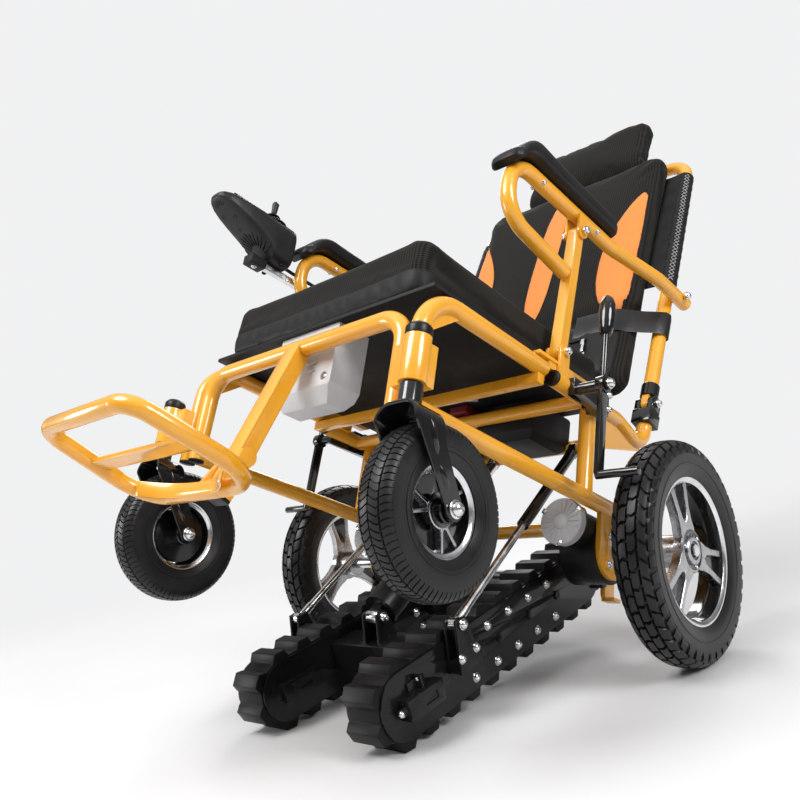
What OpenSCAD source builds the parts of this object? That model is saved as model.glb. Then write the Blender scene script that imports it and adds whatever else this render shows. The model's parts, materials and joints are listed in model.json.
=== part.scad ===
// Stair climbing wheelchair with a fold-down crawler unit. Millimetres.
// Drawn level in the chair's own frame (X to the rider's left, Y to the rear, Z up, rear axle at Y 0),
// then tipped nose-up so that it stands on its rear wheels and on the front ends of its crawlers.

/* [Wheels] */
// Diameter of the driven tyres
wheel_d = 314; // [308:1:318]
// Width of the driven tyres
wheel_w = 57; // [54:1:60]
// Diameter of the driven rims
rim_d = 209; // [200:1:216]
// Sideways place of the driven wheels
wheel_x = 346; // [342:1:352]
// Diameter of the drive axles
axle_d = 20; // [16:1:22]

/* [Casters] */
// Diameter of the caster tyres
caster_d = 200; // [194:1:203]
// Width of the caster tyres
caster_w = 50; // [46:1:51]
// Diameter of the caster rims
caster_rim_d = 110; // [104:1:116]
// Sideways place of the swivel stems
caster_x = 267; // [266:1:269]
// Distance of the swivel stems ahead of the rear axle
caster_fore = 493; // [489:1:497]
// Distance of the caster axle behind its stem
caster_trail = 58; // [54:1:60]

/* [Frame] */
// Diameter of the frame tubes
tube_d = 25; // [24:0.5:25.5]
// Sideways place of the side rails
rail_x = 238; // [237:0.5:239]
// Sideways place of the back canes
cane_x = 248; // [247:0.5:249]
// Height of the side rails
rail_z = 376; // [372:1:378]
// Height of the lower rails
lower_z = 222; // [221:1:225]
// Height of the front hoop
hoop_z = 350; // [344:1:354]

/* [Seat] */
// Depth of the seat cushion
seat_l = 448; // [436:1:450]
// Width of the seat cushion
seat_w = 430; // [416:1:436]
// Thickness of the seat cushion
seat_t = 96; // [88:1:100]

/* [Back] */
// Recline of the back from upright
recline = 14; // [12:0.5:15]
// Length of the canes above the fold hinge
cane_l = 623; // [610:1:640]
// Width of the back pad
back_w = 444; // [430:1:450]
// Thickness of the back pad
back_t = 48; // [42:1:52]
// Width of the headrest
head_w = 300; // [270:1:320]

/* [Arms] */
// Height of the arm tubes
arm_z = 674; // [672:1:678]
// Diameter of the arm tubes
arm_d = 24; // [22:1:24]
// Width of the arm pads
pad_w = 56; // [50:1:60]

/* [Footrest] */
// Width of the foot loop at the front
foot_wf = 212; // [206:1:218]
// Width of the foot loop at the heel
foot_wr = 256; // [246:1:258]
// Diameter of the foot loop tube
foot_d = 22; // [20:1:23]

/* [Crawler] */
// Distance between the drum centres of one crawler
track_l = 455; // [450:1:460]
// Sideways place of the crawlers
track_x = 115; // [114:1:116]
// Width of the belts
belt_w = 55; // [52:1:56]
// Outer radius of the belt under its lugs
belt_r = 44; // [43:0.5:45]
// Height of the belt lugs
lug_h = 10; // [8:0.5:11]
// Number of lugs on a belt
lug_n = 26; // [24:1:27]
// Slope of the lowered crawlers against the seat frame
track_a = 32.4; // [31:0.2:34]

/* [Hidden] */
$fn = 48;
run = 0.05;
wr = wheel_d/2;
fit = 0.4;
leg_y = -(caster_fore - 29);
hoop_x = rail_x - tube_d - 0.2;
leg_z = lower_z - tube_d/2 - 1;
rail_end = -208;
rear_z = rail_z - 12;
hinge_y = 81;
hinge_z = 427;
post_y = -85;
rear_end = 92;
dive = [75, 143];
nose = [dive[0] - track_l*cos(track_a), dive[1] - track_l*sin(track_a)];
tip_r = belt_r + lug_h;
head_y0 = 9;
nose_dy = -nose[0];
nose_dz = wr - nose[1];
pitch = atan2(nose_dz, nose_dy) - asin((wr - tip_r)/sqrt(nose_dy*nose_dy + nose_dz*nose_dz));
foot_front = [leg_y - 273, 147];
foot_rear = [leg_y - 104, 108];
foot_hinge = [leg_y - 61, 165];
stem_top = [leg_y, hoop_z];
stem_low = [leg_y - 79, 108];
front_y = foot_front[0]*cos(pitch) + (foot_front[1] - wr)*sin(pitch) - foot_d/2;
lean = recline + pitch;
rear_y = hinge_y*cos(pitch) + (hinge_z - wr)*sin(pitch) + head_y0*cos(lean) + (cane_l + 188)*sin(lean);
shift_y = -(front_y + rear_y)/2;
seat_bottom = rail_z + tube_d/2;
seat_top = seat_bottom + 5.5;
seat_front = -455;
arm_up = 234;
top_bar = cane_l - 63;
arm_a = [hinge_y + arm_up*sin(recline), hinge_z + arm_up*cos(recline)];
arm_rx = cane_x + tube_d/2 + arm_d/2 + 0.6;
post_b = [-146, arm_z - 32];
post_d = [-174, rail_z + 39];
head_y = -caster_fore;
stem_d = 20;
strut_x = 160;
strut_f = [5, 335];
strut_t = [-(track_l - 108), 60];
act_t = [-(track_l - 120), 61];
lift_y = 25;
lift_z = 348;
brake_q = [-158, rear_z - 6];
brake_x = cane_x + 58;
shoe = [-160, 224];
joy = [-266, -395];
joy_z = 703;
boot_r = 22;
case_y = leg_y + 18;
case_w = [-72, 58];
shaft_d = 20;
pad_low = 12;
bag_z = 326;

function unit(v) = v/norm(v);

// Stance: tipped about the rear axle, origin under the middle of the box
module part() {
  translate([0, shift_y, wr]) rotate([-pitch, 0, 0]) translate([0, 0, -wr]) children();
}

module flip() {
  mirror([1, 0, 0]) children();
}

module both() {
  children();
  mirror([1, 0, 0]) children();
}

module rod(a, b, d) {
  v = b - a;
  h = norm(v);
  translate(a) rotate([0, acos(v[2]/h), atan2(v[1], v[0])]) cylinder(h = h, d = d);
}

module slab(x0, x1, y0, y1, z0, z1) {
  translate([x0, y0, z0]) cube([x1 - x0, y1 - y0, z1 - z0]);
}

// Turned about the X axis at a point of the side view
module axial(x, p) {
  translate([x, p[0], p[1]]) rotate([0, 90, 0]) children();
}

// Side view outline (Y, Z) given thickness along X
module sheet(x0, x1) {
  translate([x0, 0, 0]) rotate([90, 0, 90]) linear_extrude(height = x1 - x0) children();
}

module bend(p, u, v, d, r) {
  ang = acos(u*v);
  n = unit(cross(u, v));
  m = cross(n, u);
  c = p - u*r*tan(ang/2) + m*r;
  multmatrix([[-m[0], u[0], n[0], c[0]], [-m[1], u[1], n[1], c[1]], [-m[2], u[2], n[2], c[2]], [0, 0, 0, 1]])
    rotate_extrude(angle = ang) translate([r, 0]) circle(d = d - 0.12);
}

// Bent tube through the corner points; straights run a hair into the bends
module pipe(pts, d, r) {
  n = len(pts);
  dir = [for (i = [0 : n - 2]) unit(pts[i + 1] - pts[i])];
  turn = is_list(r) ? r : [for (i = [0 : n - 1]) r];
  back = [for (i = [0 : n - 1]) (i == 0 || i == n - 1) ? 0 : turn[i]*tan(acos(dir[i - 1]*dir[i])/2)];
  lap = [for (i = [0 : n - 1]) (i == 0 || i == n - 1) ? 0 : back[i] - 0.4];
  for (i = [0 : n - 2]) rod(pts[i] + dir[i]*lap[i], pts[i + 1] - dir[i]*lap[i + 1], d);
  for (i = [1 : n - 2]) bend(pts[i], dir[i - 1], dir[i], d, turn[i]);
}

// Rounded outline with drawn-in sides, as a ring of points with their outward directions
function ring(w, l, r, pull, ns, nc) = concat(
  [for (k = [0 : ns - 1]) let(t = k/ns, q = 1 - (2*t - 1)*(2*t - 1))
    [w/2 - pull*q, (t - 0.5)*(l - 2*r)]],
  [for (k = [0 : nc - 1]) let(a = 90*k/nc) [w/2 - r + r*cos(a), l/2 - r + r*sin(a)]],
  [for (k = [0 : ns - 1]) let(t = k/ns, q = 1 - (2*t - 1)*(2*t - 1))
    [(0.5 - t)*(w - 2*r), l/2 - pull*q]],
  [for (k = [0 : nc - 1]) let(a = 90 + 90*k/nc) [-w/2 + r + r*cos(a), l/2 - r + r*sin(a)]],
  [for (k = [0 : ns - 1]) let(t = k/ns, q = 1 - (2*t - 1)*(2*t - 1))
    [-w/2 + pull*q, (0.5 - t)*(l - 2*r)]],
  [for (k = [0 : nc - 1]) let(a = 180 + 90*k/nc) [-w/2 + r + r*cos(a), -l/2 + r + r*sin(a)]],
  [for (k = [0 : ns - 1]) let(t = k/ns, q = 1 - (2*t - 1)*(2*t - 1))
    [(t - 0.5)*(w - 2*r), -l/2 + pull*q]],
  [for (k = [0 : nc - 1]) let(a = 270 + 90*k/nc) [w/2 - r + r*cos(a), -l/2 + r + r*sin(a)]]);

// Cushion on its flat back: drawn-in sides, rounded rim and a crowned face
module pillow(w, l, t, r, crown, pull, ns, nc) {
  edge = ring(w, l, r, pull, ns, nc);
  m = len(edge);
  up = [0, 0.12, 0.5, 0.8, 0.95, 1, 1, 1, 1];
  cut = [6, 2, 0, 1.5, 6, 14, 0, 0, 0];
  part_in = [1, 1, 1, 1, 1, 1, 0.72, 0.45, 0.18];
  k = len(up);
  pts = concat([for (i = [0 : k - 1]) for (p = edge)
    let(sx = part_in[i]*(w - 2*cut[i > 5 ? 5 : i])/w, sy = part_in[i]*(l - 2*cut[i > 5 ? 5 : i])/l)
    [p[0]*sx, p[1]*sy, t*up[i] - crown + (i < 5 ? 0.3*crown*up[i] : crown*(1 - 0.7*part_in[i]*part_in[i]))]],
    [[0, 0, t]]);
  low = [for (p = pts) [p[0], p[1], max(p[2], 0)]];
  base = [for (i = [0 : len(pts) - 1]) i < m ? [pts[i][0], pts[i][1], 0] : low[i]];
  faces = concat([[for (j = [0 : m - 1]) j]],
    [for (i = [0 : k - 2]) for (j = [0 : m - 1]) [i*m + j, (i + 1)*m + j, (i + 1)*m + (j + 1)%m]],
    [for (i = [0 : k - 2]) for (j = [0 : m - 1]) [i*m + j, (i + 1)*m + (j + 1)%m, i*m + (j + 1)%m]],
    [for (j = [0 : m - 1]) [(k - 1)*m + j, k*m, (k - 1)*m + (j + 1)%m]]);
  polyhedron(points = base, faces = faces);
}

// Sections joined one after another along Y
module loft(rings) {
  n = len(rings);
  m = len(rings[0]);
  pts = [for (g = rings) for (p = g) p];
  faces = concat([[for (j = [m - 1 : -1 : 0]) j]],
    [for (i = [0 : n - 2]) for (j = [0 : m - 1]) [i*m + j, i*m + (j + 1)%m, (i + 1)*m + (j + 1)%m]],
    [for (i = [0 : n - 2]) for (j = [0 : m - 1]) [i*m + j, (i + 1)*m + (j + 1)%m, (i + 1)*m + j]],
    [[for (j = [0 : m - 1]) (n - 1)*m + j]]);
  polyhedron(points = pts, faces = faces);
}

// Frame of the folding back: Z up the canes, -Y towards the rider
module on_back() {
  translate([0, hinge_y, hinge_z]) rotate([-recline, 0, 0]) children();
}

// Frame of the crawlers: origin on the pivot shaft, -Y along the run to the nose
module in_track() {
  translate([0, dive[0], dive[1]]) rotate([track_a, 0, 0]) children();
}

module upper_rail() {
  difference() {
    union() {
      pipe([[rail_x, rail_end, rail_z], [rail_x, leg_y, rail_z], [rail_x, leg_y, leg_z]], tube_d, 60);
      translate([caster_x, head_y, lower_z + 10]) cylinder(h = 58, d = 33);
      slab(rail_x - 6, caster_x + 6, head_y, leg_y, lower_z + 13, lower_z + 66);
      sheet(rail_x - 2.5, rail_x + 2.5)
        polygon([[leg_y, lower_z + 92], [leg_y, lower_z + 116], [leg_y + 64, rail_z - 2], [leg_y + 78, rail_z - 2]]);
    }
    translate([caster_x, head_y, lower_z - 20]) cylinder(h = 120, d = stem_d + 2*run);
  }
}

module rear_tube() {
  s = (hinge_z - 340)/cos(recline);
  low = [cane_x, hinge_y - s*sin(recline), 340];
  top = [cane_x, hinge_y - 42*sin(recline), hinge_z - 42*cos(recline)];
  pipe([[cane_x, -195, rear_z], [cane_x, -20, rear_z], low, top], tube_d, 35);
}

module lower_frame() {
  difference() {
    union() {
      rod([rail_x, leg_y, lower_z], [rail_x, rear_end, lower_z], tube_d);
      rod([rail_x, post_y, lower_z], [rail_x, post_y, rear_z], tube_d);
      rear_tube();
      sheet(cane_x - 2.5, cane_x + 2.5)
        polygon([[post_y, 296], [post_y, rear_z], [-20, rear_z], [52, rear_z - 12], [52, 336]]);
      slab(rail_x - 12, rail_x + 12, -235, -108, seat_bottom, seat_bottom + 5);
      slab(rail_x - 10, rail_x + 10, rail_end, -186, rear_z + tube_d/2 + 0.5, seat_bottom);
      slab(rail_x - 10, cane_x + 6, -190, -150, rear_z + 4, seat_bottom);
      for (s = [-1, 1]) translate([rail_x + s*11.4 - 2, 0, 0]) {
        slab(0, 4, post_d[0] - 12, post_d[0] + 12, seat_bottom, post_d[1]);
        axial(0, post_d) cylinder(h = 4, r = 12);
      }
      axial(rail_x - 17, post_d) cylinder(h = 34, d = 8);
      for (x = [rail_x - 18, rail_x + 13.4]) axial(x, post_d) cylinder(h = 4.6, d = 14);
      slab(rail_x - 4, rail_x + 4, -40, 40, wr, lower_z);
      axial(rail_x - 4, [0, wr]) cylinder(h = 8, r = 40);
      for (a = [45 : 90 : 315]) axial(rail_x + 4, [30*cos(a), wr + 30*sin(a)]) cylinder(h = 5, d = 11);
    }
    rod([rail_x, leg_y, leg_z - 5], [rail_x, leg_y, lower_z + 60], tube_d);
    translate([rail_x, leg_y - 60, lower_z]) cube([40, 120, 40], center = true);
    axial(rail_x - 20, [0, wr]) cylinder(h = 40, d = axle_d + 2*run);
  }
}

module front_hoop() {
  color([0.93, 0.70, 0.07]) part()
    pipe([[hoop_x, leg_y, leg_z], [hoop_x, leg_y, hoop_z], [-hoop_x, leg_y, hoop_z], [-hoop_x, leg_y, leg_z]],
      tube_d, 42);
}

module cross_tubes() {
  color([0.93, 0.70, 0.07]) part() {
    sq = rail_z - tube_d/2;
    slab(-rail_x - 5, rail_x + 5, -226, -211, sq - 15, sq);
    difference() {
      rod([-cane_x, -112, rear_z - 2], [cane_x, -112, rear_z - 2], 22);
      both() rod([cane_x, -160, rear_z], [cane_x, -50, rear_z], tube_d);
    }
    lift_w = cane_x - tube_d/2 - 0.3;
    rod([-lift_w, lift_y, lift_z], [lift_w, lift_y, lift_z], 22);
    for (c = [-strut_x, 0, strut_x]) {
      for (s = [-1, 1]) translate([c + s*9, 0, 0]) {
        sheet(-2, 2) polygon([[strut_f[0] - 6, strut_f[1] + 8], [lift_y, lift_z + 10], [lift_y + 4, lift_z - 9],
          [strut_f[0] + 3, strut_f[1] - 9.5]]);
        axial(-2, strut_f) cylinder(h = 4, r = 10);
      }
      axial(c - 13, strut_f) cylinder(h = 26, d = 8);
    }
    difference() {
      union() {
        rod([-rail_x, dive[0], lower_z], [rail_x, dive[0], lower_z], tube_d);
        both() slab(185, 193, dive[0] - 14, dive[0] + 14, dive[1] - 30, lower_z + 26);
        both() axial(185, [dive[0], dive[1] - 30]) cylinder(h = 8, r = 14);
        both() slab(185, 207, dive[0] - 10, dive[0] + 10, dive[1] - 44, dive[1] - 38);
      }
      both() rod([rail_x, dive[0] - 40, lower_z], [rail_x, dive[0] + 60, lower_z], tube_d);
      axial(-230, dive) cylinder(h = 460, d = shaft_d);
    }
  }
}

module footrest_stem() {
  color([0.93, 0.70, 0.07]) part() {
    v = [stem_low[0] - stem_top[0], stem_low[1] - stem_top[1]];
    difference() {
      translate([0, stem_top[0], stem_top[1]]) rotate([atan2(v[0], -v[1]), 0, 0])
        slab(-15, 15, -12, 12, -norm(v), 0);
      rod([-60, leg_y, hoop_z], [60, leg_y, hoop_z], tube_d);
      axial(-40, foot_hinge) cylinder(h = 80, d = 10 + 2*run);
    }
  }
}

module seat_board() {
  color([0.10, 0.10, 0.11]) part() {
    difference() {
      slab(-rail_x - 2, rail_x + 2, seat_front + 3, seat_front + seat_l - 6, seat_bottom, seat_top);
      both() slab(rail_x - 14.5, rail_x + 20, -238, 200, seat_bottom - 5, seat_top + 5);
    }
    both() intersection() {
      sheet(34, 146) polygon([[-97, bag_z + 14], [-86, bag_z], [-4, bag_z], [8, bag_z + 12], [10, bag_z + 60],
        [6, seat_bottom + 1], [-97, seat_bottom + 1]]);
      translate([0, 40, 0]) rotate([90, 0, 0]) linear_extrude(height = 160) polygon([[34, bag_z + 12], [46, bag_z],
        [134, bag_z], [146, bag_z + 12], [146, seat_bottom + 1], [34, seat_bottom + 1]]);
    }
  }
}

module seat_cushion() {
  color([0.06, 0.06, 0.07]) part()
    translate([0, seat_front + seat_l/2, seat_top]) pillow(seat_w, seat_l, seat_t, 26, 10, 3, 8, 5);
}

module battery_case() {
  color([0.84, 0.85, 0.86]) part() difference() {
    intersection() {
      sheet(case_w[0], case_w[1]) polygon([[case_y, 294], [case_y + 15, 272], [case_y + 48, 272], [case_y + 58, 285],
        [case_y + 58, seat_bottom], [case_y, seat_bottom]]);
      translate([0, case_y + 66, 0]) rotate([90, 0, 0]) linear_extrude(height = 100)
        polygon([[case_w[0], 298], [case_w[0] + 16, 272], [case_w[1] - 16, 272], [case_w[1], 298],
          [case_w[1], seat_bottom], [case_w[0], seat_bottom]]);
    }
    for (x = [case_w[0] + 16, case_w[1] - 16]) for (z = [308, seat_bottom - 22])
      translate([x, case_y + 5, z]) rotate([90, 0, 0]) cylinder(h = 8, d = 13);
    for (z = [318, 330]) slab(case_w[0] + 36, case_w[1] - 36, case_y - 2, case_y + 2, z, z + 4);
  }
}

module motor() {
  color([0.09, 0.09, 0.10]) part() difference() {
    union() {
      axial(176, [0, wr]) cylinder(h = rail_x - 4 - 176, r = 46);
      axial(172, [0, wr]) cylinder(h = 5, r = 34);
      translate([205, -20, wr + 28]) rotate([90, 0, 0]) cylinder(h = 60, d = 56);
      translate([205, -78, wr + 28]) rotate([90, 0, 0]) cylinder(h = 10, d = 70);
      for (a = [0 : 30 : 330]) translate([205, -87, wr + 28]) rotate([90, a, 0]) slab(7, 32, -1.2, 1.2, 0, 4);
      translate([205, -87, wr + 28]) rotate([90, 0, 0]) cylinder(h = 4, d = 20);
      for (a = [20, 110, 250]) axial(196, [0, wr]) rotate([0, 0, a]) slab(44, 50, -6, 6, 0, 22);
    }
    axial(205, [0, wr]) cylinder(h = 60, d = axle_d + 2*run);
  }
}

module tube_caps() {
  color([0.16, 0.16, 0.17]) part() {
    both() {
      translate([caster_x, head_y, lower_z + 68]) cylinder(h = 11, d = 33);
      translate([caster_x, head_y, lower_z + 79]) cylinder(h = 5, d1 = 33, d2 = 24);
      translate([rail_x, leg_y, leg_z - 3]) cylinder(h = 3, d = tube_d);
      translate([hoop_x, leg_y, leg_z - 3]) cylinder(h = 3, d = tube_d);
      translate([cane_x, -195, rear_z]) rotate([90, 0, 0]) cylinder(h = 4, d = tube_d);
      translate([rail_x, rear_end, lower_z]) rotate([-90, 0, 0]) cylinder(h = 4, d = tube_d);
    }
    v = [stem_low[0] - stem_top[0], stem_low[1] - stem_top[1]];
    translate([0, stem_low[0], stem_low[1]]) rotate([atan2(v[0], -v[1]), 0, 0]) slab(-15, 15, -12, 12, -5, 0);
  }
}

module brake_clamps() {
  color([0.08, 0.08, 0.09]) part() both() {
    difference() {
      union() {
        slab(cane_x - 4, cane_x + 20, -122, -76, rear_z - 19, rear_z + 20);
        slab(cane_x + 10, cane_x + 20, brake_q[0] - 13, -110, rear_z - 19, rear_z + 8);
      }
      rod([cane_x, -240, rear_z], [cane_x, -40, rear_z], tube_d);
      rod([rail_x, post_y, lower_z], [rail_x, post_y, rear_z], tube_d);
      sheet(cane_x - 20, cane_x + 2.5) polygon([[post_y, 296], [post_y, rear_z], [-20, rear_z], [-20, 296]]);
      rod([cane_x - 60, -112, rear_z - 2], [cane_x, -112, rear_z - 2], 22);
      slab(rail_x - 20, rail_x + 12, -240, -100, seat_bottom - 60, seat_bottom + 9);
    }
    axial(cane_x + 20, brake_q) cylinder(h = brake_x - cane_x - 26.6, d = 17);
    axial(cane_x + 20, brake_q) cylinder(h = brake_x - cane_x - 13, d = 10);
    axial(brake_x + 6.6, brake_q) cylinder(h = 4, d = 17);
    for (z = [-11, 12]) axial(cane_x + 20, [-84, rear_z + z]) cylinder(h = 5, d = 10);
  }
}

module pivot_shaft() {
  color([0.30, 0.31, 0.32]) part() {
    axial(-196, dive) cylinder(h = 392, d = shaft_d);
    both() axial(193, dive) cylinder(h = 6, d = 28);
  }
}

module back_hinges() {
  color([0.06, 0.06, 0.07]) part() both() on_back() {
    slab(cane_x - 16, cane_x + 16, -17, 17, -42, -16);
    for (s = [-1, 1]) translate([cane_x + s*11.2 - 4.8, 0, 0]) {
      slab(0, 9.6, -14, 14, -17, 0);
      axial(0, [0, 0]) cylinder(h = 9.6, r = 14);
    }
    axial(cane_x - 16, [0, 0]) cylinder(h = 32, d = 8);
    axial(cane_x + 15, [0, 0]) cylinder(h = 4, d = 15);
  }
}

// Tyre section: crowned tread with two grooves, sides drawn in to the bead
module tyre(x, p, r, w, bead, drop) {
  rc = (w*w/4 + drop*drop)/(2*drop);
  axial(x, p) rotate_extrude($fn = 96) difference() {
    intersection() {
      polygon([[bead, -w/2 + 7], [bead + (r - bead)*0.45, -w/2], [r, -w/2], [r, w/2],
        [bead + (r - bead)*0.45, w/2], [bead, w/2 - 7]]);
      translate([r - rc, 0]) circle(r = rc, $fn = 96);
    }
    for (s = [-1, 1]) translate([r - 3.2, s*w*0.16 - 1.6]) square([5, 3.2]);
  }
}

module rear_tyre() {
  color([0.05, 0.05, 0.05]) part() tyre(wheel_x, [0, wr], wr, wheel_w, rim_d/2, 17);
}

module rear_rim() {
  rr = rim_d/2;
  color([0.78, 0.79, 0.80]) part() {
    axial(wheel_x, [0, wr]) {
      rotate_extrude($fn = 96) polygon([[rr - 9, -wheel_w/2 + 9], [rr, -wheel_w/2 + 7], [rr, wheel_w/2 - 7],
        [rr - 9, wheel_w/2 - 9], [rr - 15, 4], [rr - 15, -6]]);
      translate([0, 0, -26]) cylinder(h = 46, r = 23);
      translate([0, 0, 20]) cylinder(h = 3, r1 = 20, r2 = 18);
      translate([0, 0, 2]) linear_extrude(height = 14) for (a = [88, 208, 328]) rotate(a) for (s = [-1, 1])
        polygon([[12, s*1], [14, s*18], [40, s*16], [rr - 10, s*27], [rr - 10, s*16], [46, s*6], [36, s*1]]);
      translate([0, 0, 2]) cylinder(h = 15, r = 34);
      for (a = [28 : 120 : 268]) rotate(a) translate([28, 0, 16]) cylinder(h = 4, d = 8);
    }
    axial(208, [0, wr]) cylinder(h = wheel_x - 208, d = axle_d);
  }
}

module caster_fork() {
  gap = caster_w/2 + 4;
  cy = head_y + caster_trail;
  cz = caster_d/2;
  crown = leg_z - 3.6;
  color([0.12, 0.12, 0.13]) part() {
    for (s = [-1, 1]) translate([caster_x + s*(gap + 2) - 2, 0, 0]) {
      sheet(0, 4) polygon([[head_y - 20, crown], [head_y + 24, crown], [head_y + 34, crown - 40], [cy + 13, cz + 6],
        [cy - 13, cz - 4], [head_y + 6, crown - 56], [head_y - 20, crown - 22]]);
      axial(0, [cy, cz]) cylinder(h = 4, r = 14);
    }
    slab(caster_x - gap - 4, caster_x + gap + 4, head_y - 20, head_y + 24, crown - 4.5, crown);
    translate([caster_x, head_y, crown - 1]) cylinder(h = lower_z + 9.5 - crown + 1, d = 28);
    translate([caster_x, head_y, crown - 1]) cylinder(h = lower_z + 67 - crown, d = stem_d);
    axial(caster_x - gap - 4, [cy, cz]) cylinder(h = 2*gap + 8, d = 12);
    for (s = [-1, 1]) axial(caster_x + s*(gap + 6) - 2.5, [cy, cz]) cylinder(h = 5, d = 19, $fn = 24);
  }
}

module caster_tyre() {
  color([0.05, 0.05, 0.05]) part()
    tyre(caster_x, [head_y + caster_trail, caster_d/2], caster_d/2, caster_w, caster_rim_d/2, 14);
}

module caster_rim() {
  rr = caster_rim_d/2;
  color([0.70, 0.71, 0.72]) part() axial(caster_x, [head_y + caster_trail, caster_d/2]) difference() {
    union() {
      rotate_extrude($fn = 72) polygon([[rr - 7, -caster_w/2 + 9], [rr, -caster_w/2 + 7], [rr, caster_w/2 - 7],
        [rr - 7, caster_w/2 - 9], [rr - 11, 4], [rr - 11, -4]]);
      translate([0, 0, -caster_w/2]) cylinder(h = caster_w, r = 16);
      translate([0, 0, -12]) linear_extrude(height = 24) for (a = [30, 150, 270]) rotate(a) for (s = [-1, 1])
        polygon([[8, 0], [8, s*12], [rr - 9, s*18], [rr - 9, s*10], [24, s*3], [20, 0]]);
    }
    translate([0, 0, -40]) cylinder(h = 80, d = 12 + 2*run);
  }
}

module footrest_loop() {
  f = foot_front;
  r = foot_rear;
  slope = (f[1] - r[1])/(f[0] - r[0]);
  color([0.93, 0.70, 0.07]) part() {
    pipe([[-40, r[0], r[1]], [-foot_wr/2, r[0], r[1]], [-foot_wf/2, f[0], f[1]], [foot_wf/2, f[0], f[1]],
      [foot_wr/2, r[0], r[1]], [40, r[0], r[1]]], foot_d, [0, 52, 34, 34, 52, 0]);
    rod([-46, r[0], r[1]], [46, r[0], r[1]], foot_d + 0.6);
    my = f[0] + 82;
    mz = f[1] + slope*82;
    mw = foot_wf/2 + (foot_wr - foot_wf)/2*82/(r[0] - f[0]);
    slab(-mw, mw, my - 14, my + 14, mz - 2.5, mz + 2.5);
    for (s = [-1, 1]) translate([s*20 - 2.5, 0, 0]) {
      sheet(0, 5) polygon([[r[0] - 6, r[1] - 8], [r[0] + 8, r[1] - 9], [foot_hinge[0] + 11, foot_hinge[1] - 6],
        [foot_hinge[0] - 8, foot_hinge[1] + 9]]);
      axial(0, foot_hinge) cylinder(h = 5, r = 13);
    }
    axial(-22, foot_hinge) cylinder(h = 44, d = 10);
    difference() {
      translate([0, r[0] - 152, r[1] - 8]) cylinder(h = 20, r = 152, $fn = 96);
      translate([0, r[0] - 152, r[1] - 10]) cylinder(h = 40, r = 148, $fn = 96);
      slab(-200, 200, r[0] - 400, r[0] - 36, 0, 400);
    }
  }
}

module arm_path() {
  pipe([[arm_rx, arm_a[0] + 26, arm_a[1]], [arm_rx, 62, arm_a[1]], [rail_x, -42, arm_z],
    [rail_x, -325, arm_z], [rail_x, -325, arm_z - 99], [rail_x, -172, arm_z - 118]], arm_d, 48);
}

module arm_tube() {
  color([0.93, 0.70, 0.07]) part() {
    difference() {
      arm_path();
      axial(arm_rx - 30, arm_a) cylinder(h = 60, d = 8 + 2*run);
    }
    for (s = [-1, 1]) translate([rail_x + s*11.4 - 2, 0, 0]) {
      slab(0, 4, post_b[0] - 12, post_b[0] + 12, post_b[1], arm_z - 4);
      axial(0, post_b) cylinder(h = 4, r = 12);
    }
    axial(rail_x - 14, post_b) cylinder(h = 28, d = 6);
    for (x = [rail_x - 18, rail_x + 13.4]) axial(x, post_b) cylinder(h = 4.6, d = 14);
  }
}

// Pad section at one station: flat underside, rounded top, drooping over the front bend
function droop(y) = let(q = min(max(-277 - y, 0), 53)) 60.4 - sqrt(60.4*60.4 - q*q);
function pad_ring(y, w, t) = let(b = arm_z + arm_d/2 + 0.3 - droop(y), h = w/2)
  [[rail_x - h + 6, y, b], [rail_x - h + 1, y, b + 4], [rail_x - h, y, b + t*0.42], [rail_x - h + 2, y, b + t*0.7],
   [rail_x - h*0.72, y, b + t*0.92], [rail_x - h*0.35, y, b + t*0.985], [rail_x, y, b + t],
   [rail_x + h*0.35, y, b + t*0.985], [rail_x + h*0.72, y, b + t*0.92], [rail_x + h - 2, y, b + t*0.7],
   [rail_x + h, y, b + t*0.42], [rail_x + h - 1, y, b + 4], [rail_x + h - 6, y, b]];

module arm_pad() {
  color([0.05, 0.05, 0.06]) part() loft([pad_ring(-345, pad_w - 22, 11), pad_ring(-341, pad_w - 8, 18),
    pad_ring(-332, pad_w + 4, 25), pad_ring(-325, pad_w + 5, 27), pad_ring(-318, pad_w + 6, 29),
    pad_ring(-309, pad_w + 5, 30), pad_ring(-300, pad_w + 4, 31), pad_ring(-289, pad_w + 2, 31.6),
    pad_ring(-280, pad_w, 32), pad_ring(-240, pad_w - 4, 32), pad_ring(-180, pad_w - 6, 31.5),
    pad_ring(-120, pad_w - 6, 31.5), pad_ring(-80, pad_w - 6, 31), pad_ring(-62, pad_w - 8, 28),
    pad_ring(-54, pad_w - 14, 22), pad_ring(-50, pad_w - 26, 13)]);
}

module arm_post() {
  v = [post_b[0] - post_d[0], post_b[1] - post_d[1]];
  color([0.93, 0.70, 0.07]) part() sheet(rail_x - 9, rail_x + 9) difference() {
    union() {
      translate(post_d) rotate(atan2(v[1], v[0])) translate([0, -9.4]) square([norm(v), 18.8]);
      translate(post_d) circle(r = 10);
      translate(post_b) circle(r = 10);
    }
    translate(post_d) circle(r = 4 + run);
    translate(post_b) circle(r = 4.5);
  }
}

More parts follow.
